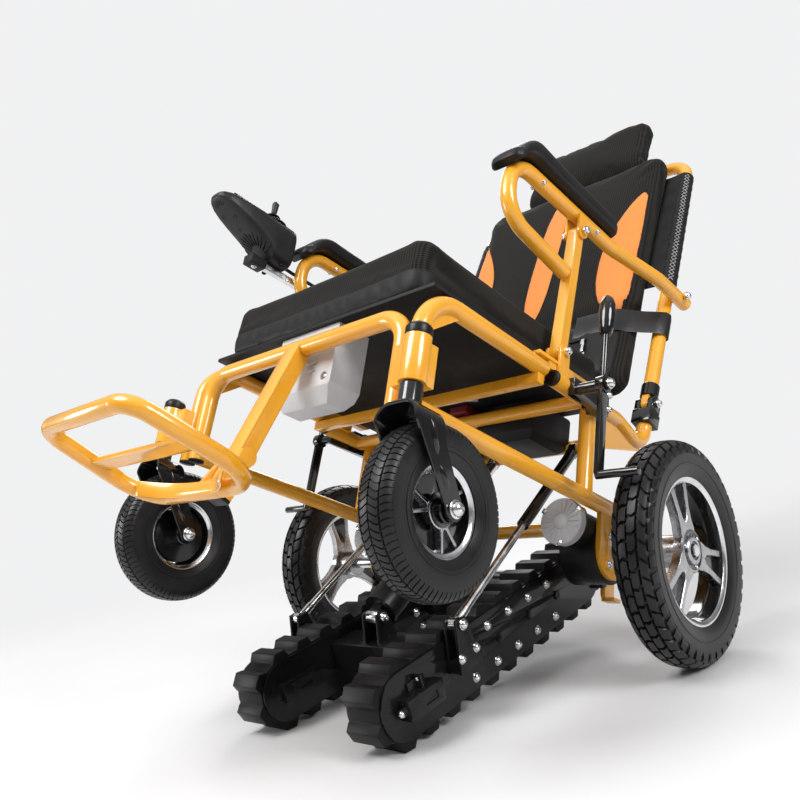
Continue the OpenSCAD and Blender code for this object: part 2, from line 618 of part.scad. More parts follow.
module controller_case() {
  color([0.10, 0.10, 0.11]) part() difference() {
    intersection() {
      sheet(-310, -222) polygon([[-520, 692], [-514, 701], [-500, joy_z], [-360, joy_z], [-352, 696], [-350, 650],
        [-352, 618], [-404, 618], [-410, 640], [-470, 664], [-516, 684]]);
      translate([joy[0], 0, 600]) linear_extrude(height = 140)
        polygon([[-16, -520], [-28, -510], [-36, -470], [-38, -420], [-38, -362], [-32, -350], [32, -350], [38, -362],
          [38, -420], [36, -470], [28, -510], [16, -520]]);
    }
    translate([joy[0], joy[1], joy_z - 6]) sphere(r = boot_r + 0.6);
    translate([joy[0] - boot_r - 6, joy[1], joy_z - 6]) rotate([0, 90, 0]) cylinder(h = 2*boot_r + 12, d = 5 + 2*run);
    for (k = [0 : 3]) slab(-320, -200, -400 + k*12, -395 + k*12, 610, 621);
  }
}

module controller_bar() {
  color([0.72, 0.73, 0.74]) part() difference() {
    union() {
      slab(-268, -256, -424, -216, 606, 618);
      slab(-268, -236, -244, -216, 548, 612);
    }
    flip() arm_path();
  }
}

module controller_lead() {
  x = -(rail_x + arm_d/2);
  color([0.04, 0.04, 0.05]) part() {
    pipe([[-290, -349.5, 652], [-290, -312, 650], [-278, -240, 642], [x - 16, -150, arm_z - 14],
      [x - 16, -70, arm_z], [x - 0.2, -70, arm_z]], 7, 15);
    translate([-290, -349.5, 652]) rotate([-90, 0, 0]) cylinder(h = 18, d1 = 13, d2 = 9);
  }
}

module joystick_boot() {
  color([0.07, 0.07, 0.08]) part() translate([joy[0], joy[1], joy_z - 6]) difference() {
    union() {
      intersection() {
        sphere(r = boot_r);
        slab(-30, 30, -30, 30, -7, boot_r - 1);
      }
      translate([-boot_r - 5, 0, 0]) rotate([0, 90, 0]) cylinder(h = 2*boot_r + 10, d = 5);
    }
    translate([0, -8.1, 0]) rotate([-90, 0, 0]) cylinder(h = 16.2, d = 12 + 2*run);
    translate([0, 0, 0]) slab(-13, 13, -5, 5, 0, 40);
  }
}

module joystick_knob() {
  color([0.06, 0.06, 0.07]) part() translate([joy[0], joy[1], joy_z - 6]) {
    translate([0, -8, 0]) rotate([-90, 0, 0]) cylinder(h = 16, d = 12);
    cylinder(h = 40, d = 8);
    translate([0, 0, 29]) cylinder(h = 24, d1 = 10, d2 = 13);
    translate([0, 0, 53]) cylinder(h = 4, d1 = 13, d2 = 8);
  }
}

module brake_lever() {
  x = brake_x;
  q = brake_q;
  color([0.07, 0.07, 0.08]) part() {
    difference() {
      union() {
        axial(x - 6, q) cylinder(h = 12, r = 13);
        sheet(x - 3, x + 3) polygon([[q[0] - 9, q[1]], [q[0] + 9, q[1]], [shoe[0] + 8, shoe[1]],
          [shoe[0] - 8, shoe[1]]]);
      }
      axial(x - 20, q) cylinder(h = 40, d = 10 + 2*run);
    }
    rod([x, q[0], q[1] + 9], [x, q[0] + 2, q[1] + 92], 9);
    axial(x - 3, shoe) cylinder(h = wheel_x + 22 - x, d = 12);
    translate([x, q[0] + 1.9, q[1] + 80]) rotate([-1.5, 0, 0]) rotate_extrude() polygon([[0, 0], [8, 0], [10, 8],
      [12, 22], [12.5, 36], [11.5, 50], [8, 60], [3, 65], [0, 65.6]]);
  }
}

module back_frame() {
  color([0.93, 0.70, 0.07]) part() on_back() difference() {
    union() {
      pipe([[cane_x, 0, 30], [cane_x, 0, cane_l], [-cane_x, 0, cane_l], [-cane_x, 0, 30]], tube_d, 45);
      both() {
        slab(cane_x - 6, cane_x + 6, -12, 12, 0, 36);
        axial(cane_x - 6, [0, 0]) cylinder(h = 12, r = 12);
        axial(cane_x, [0, arm_up]) cylinder(h = arm_rx + arm_d/2 + 1 - cane_x, d = 8);
        axial(arm_rx + arm_d/2 + 0.5, [0, arm_up]) cylinder(h = 4.5, d = 15);
      }
      for (z = [200, top_bar]) rod([-cane_x, 0, z], [cane_x, 0, z], 20);
      for (x = [-130, 130]) for (z = [200, top_bar]) slab(x - 14, x + 14, -16, 0, z - 8, z + 8);
      for (x = [-60, 60]) slab(x - 17, x + 17, 4, head_y0 + 14, top_bar - 14, top_bar + 14);
    }
    both() axial(cane_x - 30, [0, 0]) cylinder(h = 60, d = 8 + 2*run);
    for (x = [-60, 60]) slab(x - 10.4, x + 10.4, head_y0 + 4, head_y0 + 8.8, top_bar - 60, top_bar + 40);
  }
}

module back_pad() {
  color([0.06, 0.06, 0.07]) part() on_back()
    translate([0, -16, (pad_low + cane_l)/2]) rotate([90, 0, 0])
      pillow(back_w, cane_l - pad_low, back_t, 30, 9, 4, 10, 5);
}

// Laced side covers: a sleeve round each cane with a web to the pad
module cane_sleeves() {
  color([0.05, 0.05, 0.05]) part() both() on_back() difference() {
    union() {
      rod([cane_x, 0, 268], [cane_x, 0, cane_l - 49], tube_d + 7);
      slab(back_w/2 - 24, cane_x, -16, -11, 268, cane_l - 49);
    }
    rod([cane_x, 0, 200], [cane_x, 0, cane_l], tube_d + 0.4);
    rod([0, 0, top_bar], [cane_x, 0, top_bar], 20.4);
  }
}

module headrest_pad() {
  color([0.06, 0.06, 0.07]) part() on_back()
    translate([0, head_y0, cane_l + 104]) rotate([90, 0, 0]) pillow(head_w, 172, 52, 34, 10, 3, 7, 5);
}

module headrest_bars() {
  color([0.60, 0.61, 0.62]) part() on_back() {
    slab(-110, 110, head_y0, head_y0 + 6, cane_l + 40, cane_l + 160);
    for (x = [-60, 60]) slab(x - 10, x + 10, head_y0 + 4.4, head_y0 + 8.4, cane_l - 150, cane_l + 150);
  }
}

module stadium(r) {
  circle(r = r, $fn = 72);
  translate([-track_l, 0]) circle(r = r, $fn = 72);
  translate([-track_l, -r]) square([track_l, 2*r]);
}

module track_frame() {
  xi = track_x - belt_w/2 - fit;
  xo = track_x + belt_w/2 + fit;
  pr = belt_r - 2;
  color([0.93, 0.70, 0.07]) part() in_track() {
    difference() {
      union() {
        sheet(xi - 3, xi) stadium(pr);
        sheet(xo, xo + 3) stadium(pr);
        slab(xi, xo, -track_l + 58, -58, -16, 16);
        slab(xo, strut_x + 10, strut_t[0] - 22, strut_t[0] + 22, 2, 18);
        for (x = [strut_x - 11, strut_x + 7]) sheet(x, x + 4)
          polygon([[strut_t[0] - 24, 2], [strut_t[0] + 24, 2], [strut_t[0] + 10, strut_t[1] + 8],
            [strut_t[0] - 10, strut_t[1] + 8]]);
        for (x = [strut_x - 13, strut_x + 10]) axial(x, strut_t) cylinder(h = 3, d = 16);
        for (y = [-90, -track_l + 285, -track_l + 205, -track_l + 155]) for (x = [xi - 6, xo + 2])
          axial(x, [y, 0]) cylinder(h = 4, d = 13);
      }
      axial(0, [0, 0]) cylinder(h = 200, d = shaft_d + 2*run);
    }
    axial(xi - 5, [-track_l, 0]) cylinder(h = xo - xi + 10, d = 12);
  }
}

// Place and outward angle of a lug, counted along the belt from under the nose
function lug_at(s) = let(h = PI*belt_r)
  s < h ? let(a = -90 - s/belt_r*180/PI) [-track_l + belt_r*cos(a), belt_r*sin(a), a]
  : s < h + track_l ? [-track_l + s - h, belt_r, 90]
  : s < 2*h + track_l ? let(a = 90 - (s - h - track_l)/belt_r*180/PI) [belt_r*cos(a), belt_r*sin(a), a]
  : [-(s - 2*h - track_l), -belt_r, -90];

module track_belt() {
  loop = 2*track_l + 2*PI*belt_r;
  first = belt_r*(track_a - pitch)*PI/180;
  color([0.06, 0.06, 0.06]) part() in_track() sheet(track_x - belt_w/2, track_x + belt_w/2) {
    difference() {
      stadium(belt_r);
      stadium(belt_r - 6);
    }
    for (k = [0 : lug_n - 1]) {
      q = lug_at((first + k*loop/lug_n)%loop);
      translate([q[0], q[1]]) rotate(q[2] - 90)
        polygon([[-15, -4], [15, -4], [14, 1], [9, lug_h], [-9, lug_h], [-14, 1]]);
    }
  }
}

module drive_sprockets() {
  color([0.35, 0.36, 0.37]) part() in_track() both() difference() {
    axial(track_x - belt_w/2 + 1, [0, 0]) cylinder(h = belt_w - 2, r = belt_r - 6 - fit);
    axial(0, [0, 0]) cylinder(h = 200, d = shaft_d + 2*run);
  }
}

module front_idlers() {
  color([0.35, 0.36, 0.37]) part() in_track() both() difference() {
    axial(track_x - belt_w/2 + 1, [-track_l, 0]) cylinder(h = belt_w - 2, r = belt_r - 6 - fit);
    axial(0, [-track_l, 0]) cylinder(h = 200, d = 12 + 2*run);
  }
}

module tensioners() {
  xo = track_x + belt_w/2 + fit + 3;
  xi = track_x - belt_w/2 - fit - 3;
  color([0.07, 0.07, 0.08]) part() in_track() both() difference() {
    union() {
      slab(xo, xo + 20, -track_l - 12, -track_l + 52, -13, 13);
      slab(xi - 9, xi, -track_l - 12, -track_l + 52, -13, 13);
      slab(xo, xo + 12, -track_l + 52, -track_l + 62, -9, 9);
      rod([xo + 10, -track_l - 11, 0], [xo + 10, -track_l - 19, 0], 11);
      slab(xo, xo + 14, -track_l + 22, -track_l + 26, 13, 30);
      slab(xo, xo + 3, -track_l + 8, -track_l + 40, 13, 24);
    }
    axial(xi - 5, [-track_l, 0]) cylinder(h = xo - xi + 10, d = 16);
    for (x = [xo + 18, xi - 9.5]) slab(x, x + 2.5, -track_l + 16, -track_l + 40, -5, 5);
  }
}

module track_bridge() {
  xi = track_x - belt_w/2 - fit - 3;
  color([0.93, 0.70, 0.07]) part() in_track() {
    slab(-xi, xi, act_t[0] - 26, act_t[0] + 26, -14, 28);
    for (x = [-16, 12]) {
      sheet(x, x + 4) polygon([[act_t[0] - 22, 20], [act_t[0] + 22, 20], [act_t[0] + 11, act_t[1] + 8],
        [act_t[0] - 11, act_t[1] + 8]]);
      axial(x < 0 ? x - 2 : x, act_t) cylinder(h = 6, d = 14);
    }
  }
}

module track_motor() {
  xi = track_x - belt_w/2 - fit - 3;
  color([0.09, 0.09, 0.10]) part() in_track() {
    axial(-xi, [-120, 0]) cylinder(h = 2*xi, d = 44);
    axial(-56, [-120, 0]) cylinder(h = 112, d = 70);
  }
}

act_foot = [dive[0] + act_t[0]*cos(track_a) - act_t[1]*sin(track_a),
  dive[1] + act_t[0]*sin(track_a) + act_t[1]*cos(track_a)];
strut_foot = [dive[0] + strut_t[0]*cos(track_a) - strut_t[1]*sin(track_a),
  dive[1] + strut_t[0]*sin(track_a) + strut_t[1]*cos(track_a)];

// Frame of a telescoping link: origin at its lower eye, Z up along it
module on_link(x, foot) {
  translate([x, foot[0], foot[1]]) rotate([-atan2(strut_f[0] - foot[0], strut_f[1] - foot[1]), 0, 0]) children();
}

function link_l(foot) = norm([strut_f[0] - foot[0], strut_f[1] - foot[1]]);

module actuator_barrel() {
  color([0.10, 0.10, 0.11]) part() on_link(0, act_foot) difference() {
    union() {
      translate([-11, 0, 0]) rotate([0, 90, 0]) cylinder(h = 22, d = 20);
      slab(-9, 9, -10, 10, 0, 20);
      translate([0, 0, 14]) cylinder(h = 60, d = 52);
      translate([0, 0, 14]) cylinder(h = 192, d = 42);
    }
    translate([0, 0, 20]) cylinder(h = 300, d = 20 + 2*run);
  }
}

module actuator_rod() {
  h = link_l(act_foot);
  color([0.80, 0.81, 0.82]) part() on_link(0, act_foot) difference() {
    union() {
      translate([0, 0, 186]) cylinder(h = h - 204, d = 20);
      translate([-6, 0, h]) rotate([0, 90, 0]) cylinder(h = 12, d = 20);
      slab(-6, 6, -9, 9, h - 18, h);
    }
    translate([-20, 0, h]) rotate([0, 90, 0]) cylinder(h = 40, d = 8 + 2*run);
  }
}

module strut_tube() {
  h = link_l(strut_foot);
  color([0.08, 0.08, 0.09]) part() on_link(strut_x, strut_foot) difference() {
    union() {
      translate([0, 0, h - 205]) cylinder(h = 193, d = 18);
      translate([-6, 0, h]) rotate([0, 90, 0]) cylinder(h = 12, d = 20);
      slab(-6, 6, -8, 8, h - 18, h);
    }
    translate([-20, 0, h]) rotate([0, 90, 0]) cylinder(h = 40, d = 8 + 2*run);
    translate([0, 0, h - 240]) cylinder(h = 220, d = 11 + 2*run);
  }
}

module strut_rod() {
  h = link_l(strut_foot);
  color([0.75, 0.76, 0.77]) part() on_link(strut_x, strut_foot) {
    translate([-6, 0, 0]) rotate([0, 90, 0]) cylinder(h = 12, d = 18);
    translate([0, 0, 4]) cylinder(h = h - 190, d = 11);
    translate([0, 0, 8]) cylinder(h = 22, d = 13);
  }
}

color([0.93, 0.70, 0.07]) part() upper_rail();  // upper_rail_left
color([0.93, 0.70, 0.07]) flip() part() upper_rail();  // upper_rail_right
color([0.93, 0.70, 0.07]) part() lower_frame();  // lower_frame_left
color([0.93, 0.70, 0.07]) flip() part() lower_frame();  // lower_frame_right
front_hoop();
cross_tubes();
footrest_stem();
seat_board();
seat_cushion();
battery_case();
motor();  // motor_left
flip() motor();  // motor_right
tube_caps();
brake_clamps();
pivot_shaft();
back_hinges();
rear_tyre();  // rear_tyre_left
flip() rear_tyre();  // rear_tyre_right
rear_rim();  // rear_rim_left
flip() rear_rim();  // rear_rim_right
caster_fork();  // caster_fork_left
flip() caster_fork();  // caster_fork_right
caster_tyre();  // caster_tyre_left
flip() caster_tyre();  // caster_tyre_right
caster_rim();  // caster_rim_left
flip() caster_rim();  // caster_rim_right
footrest_loop();
arm_tube();  // arm_tube_left
flip() arm_tube();  // arm_tube_right
arm_pad();  // arm_pad_left
flip() arm_pad();  // arm_pad_right
arm_post();  // arm_post_left
flip() arm_post();  // arm_post_right
controller_case();
controller_bar();
controller_lead();
joystick_boot();
joystick_knob();
brake_lever();  // brake_lever_left
flip() brake_lever();  // brake_lever_right
back_frame();
back_pad();
cane_sleeves();
headrest_pad();
headrest_bars();
track_frame();  // track_frame_left
flip() track_frame();  // track_frame_right
track_belt();  // track_belt_left
flip() track_belt();  // track_belt_right
drive_sprockets();
front_idlers();
tensioners();
track_bridge();
track_motor();
actuator_barrel();
actuator_rod();
strut_tube();  // strut_tube_left
flip() strut_tube();  // strut_tube_right
strut_rod();  // strut_rod_left
flip() strut_rod();  // strut_rod_right
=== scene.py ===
import json
import math

import bmesh
import bpy
import numpy as np
from mathutils import Matrix, Vector
from mathutils.bvhtree import BVHTree
from mathutils.geometry import delaunay_2d_cdt

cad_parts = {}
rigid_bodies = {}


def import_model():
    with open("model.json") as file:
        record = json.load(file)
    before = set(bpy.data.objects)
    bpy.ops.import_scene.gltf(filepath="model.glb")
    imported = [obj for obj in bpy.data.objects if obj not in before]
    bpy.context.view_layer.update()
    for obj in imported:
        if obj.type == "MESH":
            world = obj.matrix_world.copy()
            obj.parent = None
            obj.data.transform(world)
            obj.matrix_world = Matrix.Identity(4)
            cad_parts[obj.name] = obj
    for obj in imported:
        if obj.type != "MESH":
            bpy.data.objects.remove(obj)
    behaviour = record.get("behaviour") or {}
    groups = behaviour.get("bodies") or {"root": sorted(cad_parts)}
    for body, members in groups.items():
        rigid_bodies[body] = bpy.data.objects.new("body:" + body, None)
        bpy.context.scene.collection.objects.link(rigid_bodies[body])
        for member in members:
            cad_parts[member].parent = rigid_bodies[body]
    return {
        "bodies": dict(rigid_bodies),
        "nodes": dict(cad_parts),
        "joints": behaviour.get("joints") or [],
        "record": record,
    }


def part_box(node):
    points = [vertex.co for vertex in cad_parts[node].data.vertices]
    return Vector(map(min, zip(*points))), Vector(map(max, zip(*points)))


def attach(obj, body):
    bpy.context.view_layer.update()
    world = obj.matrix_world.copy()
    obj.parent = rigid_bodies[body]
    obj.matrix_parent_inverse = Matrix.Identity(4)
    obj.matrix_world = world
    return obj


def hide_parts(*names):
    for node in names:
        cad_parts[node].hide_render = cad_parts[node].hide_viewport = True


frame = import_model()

scene = bpy.context.scene
cadNodes = frame["nodes"]
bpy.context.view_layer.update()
print("frame in:", len(cadNodes), "nodes")

# chair millimetres (level, rear axle at y 0) to the standing part in metres
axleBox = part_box("rear_tyre_left")
stance = {"pitch": 24.998038, "shiftY": 500.0*(axleBox[0][1] + axleBox[1][1]), "axleZ": 157.0}
toPart = (Matrix.Scale(0.001, 4) @ Matrix.Translation((0, stance["shiftY"], stance["axleZ"]))
          @ Matrix.Rotation(-math.radians(stance["pitch"]), 4, "X")
          @ Matrix.Translation((0, 0, -stance["axleZ"])))
toPartArray = np.array(toPart)


def placed(points):
    p = np.asarray(points, float).reshape(-1, 3)
    return p @ toPartArray[:3, :3].T + toPartArray[:3, 3]


# camera and light
view = {"at": (0.852128, stance["shiftY"]/1000 - 1.080882, 0.360201), "turn": (93.788, 9.5525, 44.3498),
        "lens": 35.668, "shift": (0.0231, 0.0031)}
camData = bpy.data.cameras.new("photoCamera")
camData.lens = view["lens"]
camData.sensor_width = 36
camData.shift_x, camData.shift_y = view["shift"]
camData.clip_end = 60
camera = bpy.data.objects.new("photoCamera", camData)
camera.location = view["at"]
camera.rotation_euler = [math.radians(a) for a in view["turn"]]
scene.collection.objects.link(camera)
scene.camera = camera
scene.view_settings.view_transform = "Standard"

lamps = {
    "keyLamp": {"at": (-0.5, -2.0, 2.9), "aim": (0, 0, 0.45), "size": 1.7, "power": 88},
    "sideLamp": {"at": (2.7, -0.2, 1.9), "aim": (0, 0, 0.4), "size": 1.3, "power": 62},
    "backLamp": {"at": (-1.6, 2.3, 2.4), "aim": (0, 0, 0.5), "size": 1.6, "power": 46},
    "stripLamp": {"at": (-2.2, -1.9, 0.9), "aim": (0, -0.2, 0.4), "size": 0.9, "power": 20},
}
for lampName, l in lamps.items():
    data = bpy.data.lights.new(lampName, "AREA")
    data.energy = l["power"]
    data.shape = "DISK"
    data.size = l["size"]
    lamp = bpy.data.objects.new(lampName, data)
    lamp.location = l["at"]
    lamp.rotation_euler = (Vector(l["aim"]) - Vector(l["at"])).to_track_quat("-Z", "Y").to_euler()
    scene.collection.objects.link(lamp)

world = bpy.data.worlds.new("studio")
scene.world = world
world.use_nodes = True
wn = world.node_tree.nodes
wn.clear()
wOut = wn.new("ShaderNodeOutputWorld")
wMix = wn.new("ShaderNodeMixShader")
wLit = wn.new("ShaderNodeBackground")
wSeen = wn.new("ShaderNodeBackground")
wLit.inputs[1].default_value = 1.0
wCoord = wn.new("ShaderNodeTexCoord")
wParts = wn.new("ShaderNodeSeparateXYZ")
wSky = wn.new("ShaderNodeValToRGB")
for stop, (pos, tone) in zip([wSky.color_ramp.elements[0], wSky.color_ramp.elements[1],
                              wSky.color_ramp.elements.new(0.45)],
                             ((0.0, 0.16), (0.85, 0.72), (0.45, 0.30))):
    stop.position, stop.color = pos, (tone*0.97, tone*0.985, tone, 1)
wSeen.inputs[0].default_value = (0.875, 0.88, 0.885, 1)
wSeen.inputs[1].default_value = 1.0
wPath = wn.new("ShaderNodeLightPath")
wMost = wn.new("ShaderNodeMath")
wMost.operation = "MAXIMUM"
wl = world.node_tree.links
wl.new(wCoord.outputs["Generated"], wParts.inputs[0])
wl.new(wParts.outputs[2], wSky.inputs[0])
wl.new(wSky.outputs[0], wLit.inputs[0])
wl.new(wPath.outputs["Is Camera Ray"], wMost.inputs[0])
wl.new(wPath.outputs["Is Transmission Ray"], wMost.inputs[1])
wl.new(wMost.outputs[0], wMix.inputs[0])
wl.new(wLit.outputs[0], wMix.inputs[1])
wl.new(wSeen.outputs[0], wMix.inputs[2])
wl.new(wMix.outputs[0], wOut.inputs[0])
print("camera and lamps set")


# materials
class Finish:
    def __init__(self, name):
        self.mat = bpy.data.materials.new(name)
        self.mat.use_nodes = True
        self.tree = self.mat.node_tree
        self.shader = self.tree.nodes["Principled BSDF"]
        self.coords = self.tree.nodes.new("ShaderNodeTexCoord")

    def node(self, kind, **settings):
        n = self.tree.nodes.new("ShaderNode" + kind)
        for key, value in settings.items():
            setattr(n, key, value)
        return n

    def link(self, a, b):
        self.tree.links.new(a, b)

    def fix(self, **values):   # constants straight onto the shader
        names = {"rough": "Roughness", "metal": "Metallic", "coat": "Coat Weight",
                 "coatRough": "Coat Roughness", "spec": "Specular IOR Level", "sheen": "Sheen Weight",
                 "sheenRough": "Sheen Roughness", "colour": "Base Color"}
        for key, value in values.items():
            self.shader.inputs[names[key]].default_value = value
        return self

    def noise(self, scale, detail=4.0, rough=0.55, stretch=None):
        n = self.node("TexNoise")
        n.inputs["Scale"].default_value = scale
        n.inputs["Detail"].default_value = detail
        n.inputs["Roughness"].default_value = rough
        if stretch:
            m = self.node("Mapping")
            m.inputs["Scale"].default_value = stretch
            self.link(self.coords.outputs["Object"], m.inputs[0])
            self.link(m.outputs[0], n.inputs["Vector"])
        else:
            self.link(self.coords.outputs["Object"], n.inputs["Vector"])
        return n.outputs["Fac"]

    def ramp(self, fac, stops):
        r = self.node("ValToRGB")
        e = r.color_ramp.elements
        while len(e) < len(stops):
            e.new(0.5)
        for i, (pos, col) in enumerate(stops):
            e[i].position = pos
            e[i].color = (*col, 1) if len(col) == 3 else col
        self.link(fac, r.inputs[0])
        return r.outputs[0]

    def span(self, fac, low, high, start=0.0, end=1.0):
        m = self.node("MapRange")
        m.inputs["From Min"].default_value = start
        m.inputs["From Max"].default_value = end
        m.inputs["To Min"].default_value = low
        m.inputs["To Max"].default_value = high
        self.link(fac, m.inputs["Value"])
        return m.outputs["Result"]

    def colour(self, fac, stops):
        self.link(self.ramp(fac, stops), self.shader.inputs["Base Color"])
        return self

    def rough(self, fac, low, high, start=0.3, end=0.7):
        self.link(self.span(fac, low, high, start, end), self.shader.inputs["Roughness"])
        return self

    def bump(self, height, distance, strength=1.0):
        b = self.node("Bump")
        b.inputs["Distance"].default_value = distance
        b.inputs["Strength"].default_value = strength
        self.link(height, b.inputs["Height"])
        self.link(b.outputs[0], self.shader.inputs["Normal"])
        return self

    def math(self, kind, a, b=None):
        m = self.node("Math", operation=kind)
        for i, v in enumerate((a, b)):
            if v is None:
                continue
            if isinstance(v, (int, float)):
                m.inputs[i].default_value = v
            else:
                self.link(v, m.inputs[i])
        return m.outputs[0]


def paintFinish(name, dark, light, coat=0.75, low=0.26, high=0.36, spec=0.5):
    f = Finish(name).fix(coat=coat, coatRough=0.05, spec=spec)
    broad = f.noise(9, 3)
    fine = f.noise(900, 2)
    return f.colour(broad, [(0.3, dark),
                            (0.7, light)]).rough(broad, low, high).bump(fine, 0.00005, 0.25).mat


def metalFinish(name, dark, light, low, high, scale=60, stretch=None):
    f = Finish(name).fix(metal=1.0)
    n = f.noise(scale, 5, stretch=stretch)
    return f.colour(n, [(0.3, dark), (0.7, light)]).rough(n, low, high).mat


def plasticFinish(name, dark, light, low, high, grain=1500, depth=0.00006, spec=0.45):
    f = Finish(name).fix(spec=spec)
    n = f.noise(22, 4)
    g = f.noise(grain, 2)
    return f.colour(n, [(0.3, dark), (0.7, light)]).rough(n, low, high).bump(g, depth, 0.5).mat


def meshCloth(name, hole, yarn, pitch=0.0026, sheen=0.08):   # spacer mesh, small holes in quincunx
    f = Finish(name).fix(sheen=sheen, sheenRough=0.5, spec=0.06)
    k = math.pi/pitch
    a = f.node("SeparateXYZ")
    turn = f.node("Mapping")
    turn.inputs["Rotation"].default_value = (-math.radians(stance["pitch"]), 0, 0)
    f.link(f.coords.outputs["Object"], turn.inputs[0])
    f.link(turn.outputs[0], a.inputs[0])
    down = f.math("ADD", a.outputs[1], a.outputs[2])
    sx = f.math("SINE", f.math("MULTIPLY", f.math("ADD", a.outputs[0], down), k))
    sy = f.math("SINE", f.math("MULTIPLY", f.math("SUBTRACT", a.outputs[0], down), k))
    weave = f.math("MULTIPLY", sx, sy)
    broad = f.noise(11, 5)
    dots = f.span(weave, 0.0, 1.0, -0.6, 0.5)
    f.colour(f.math("MULTIPLY", dots, f.span(broad, 0.72, 1.0, 0.3, 0.7)), [(0.0, hole), (1.0, yarn)])
    f.rough(dots, 0.95, 0.8, 0.0, 1.0)
    return f.bump(f.noise(420, 3), 0.0002, 0.35).mat


paints = {
    "framePaint": ((0.76, 0.335, 0.014), (0.82, 0.375, 0.020)),
    "crawlerPaint": ((0.005, 0.005, 0.0055), (0.009, 0.009, 0.010), 0.3, 0.2, 0.32, 0.12),
    "blackPaint": ((0.004, 0.004, 0.0045), (0.007, 0.007, 0.0075), 0.85, 0.12, 0.2, 0.2),
}
metals = {
    "brightSteel": ((0.62, 0.63, 0.65), (0.80, 0.81, 0.82), 0.12, 0.28),
    "machinedAlloy": ((0.36, 0.36, 0.37), (0.52, 0.52, 0.53), 0.2, 0.36, 90),
    "satinSteel": ((0.30, 0.31, 0.32), (0.42, 0.43, 0.44), 0.3, 0.45),
}
plastics = {
    "tyreRubber": ((0.008, 0.008, 0.0085), (0.016, 0.016, 0.0165), 0.27, 0.42, 700, 0.0001, 0.3),
    "beltRubber": ((0.004, 0.004, 0.0043), (0.009, 0.009, 0.0093), 0.34, 0.5, 500, 0.00012, 0.16),
    "gripRubber": ((0.006, 0.006, 0.006), (0.011, 0.011, 0.011), 0.45, 0.6, 1500, 0.00006, 0.25),
    "padSkin": ((0.007, 0.007, 0.0075), (0.012, 0.012, 0.0125), 0.36, 0.48, 900, 0.00008, 0.25),
    "controlPlastic": ((0.011, 0.011, 0.0115), (0.019, 0.019, 0.0195), 0.34, 0.48, 1500, 0.00006, 0.3),
    "blackPlastic": ((0.005, 0.005, 0.0054), (0.009, 0.009, 0.0094), 0.25, 0.4, 1500, 0.00006, 0.25),
    "caseGrey": ((0.52, 0.53, 0.55), (0.60, 0.61, 0.63), 0.28, 0.4),
    "motorGrey": ((0.33, 0.33, 0.335), (0.42, 0.42, 0.425), 0.35, 0.5),
    "plainCloth": ((0.006, 0.006, 0.0065), (0.011, 0.011, 0.0115), 0.45, 0.62, 1800, 0.0002, 0.22),
    "webbing": ((0.006, 0.006, 0.0065), (0.012, 0.012, 0.013), 0.28, 0.4, 2200, 0.0002, 0.35),
    "laceCord": ((0.24, 0.24, 0.245), (0.34, 0.34, 0.345), 0.6, 0.75, 1800, 0.0001),
    "bagRed": ((0.14, 0.008, 0.012), (0.20, 0.012, 0.018), 0.35, 0.5),
    "lampLens": ((0.02, 0.10, 0.04), (0.04, 0.16, 0.06), 0.2, 0.3),
}
cloths = {
    "cushionCloth": ((0.007, 0.0066, 0.006), (0.027, 0.0245, 0.021), 0.005, 0.04),
    "wingCloth": ((0.60, 0.19, 0.042), (0.80, 0.28, 0.075), 0.0018, 0.15),
}
makers = [(paintFinish, paints), (metalFinish, metals), (plasticFinish, plastics), (meshCloth, cloths)]
finishes = {name: make(name, *values) for make, table in makers for name, values in table.items()}

nodeFinish = {
    "framePaint": ["upper_rail_left", "upper_rail_right", "lower_frame_left", "lower_frame_right",
        "front_hoop", "cross_tubes", "footrest_stem", "footrest_loop", "arm_tube_left",
        "arm_tube_right", "arm_post_left", "arm_post_right", "back_frame"],
    "crawlerPaint": ["track_frame_left", "track_frame_right", "track_bridge", "tensioners"],
    "blackPaint": ["caster_fork_left", "caster_fork_right", "brake_clamps", "back_hinges",
        "strut_tube_left", "strut_tube_right", "brake_lever_left", "brake_lever_right"],
    "brightSteel": ["controller_bar", "actuator_rod", "strut_rod_left", "strut_rod_right"],
    "satinSteel": ["pivot_shaft", "headrest_bars", "drive_sprockets", "front_idlers"],
    "machinedAlloy": ["rear_rim_left", "rear_rim_right", "caster_rim_left", "caster_rim_right"],
    "tyreRubber": ["rear_tyre_left", "rear_tyre_right", "caster_tyre_left", "caster_tyre_right"],
    "beltRubber": ["track_belt_left", "track_belt_right"],
    "gripRubber": ["controller_lead"],
    "padSkin": ["arm_pad_left", "arm_pad_right"],
    "controlPlastic": ["controller_case", "joystick_boot", "joystick_knob"],
    "blackPlastic": ["motor_left", "motor_right", "track_motor", "actuator_barrel", "tube_caps"],
    "caseGrey": ["battery_case"],
    "cushionCloth": ["seat_cushion", "back_pad", "headrest_pad"],
    "plainCloth": ["seat_board", "cane_sleeves"],
}
for finishName, names in nodeFinish.items():
    for n in names:
        mesh = cadNodes[n].data
        mesh.materials.clear()
        mesh.materials.append(finishes[finishName])
        mesh.shade_smooth()
        mesh.set_sharp_from_angle(angle=math.radians(32))
print("finishes on the frame:", sum(len(v) for v in nodeFinish.values()))


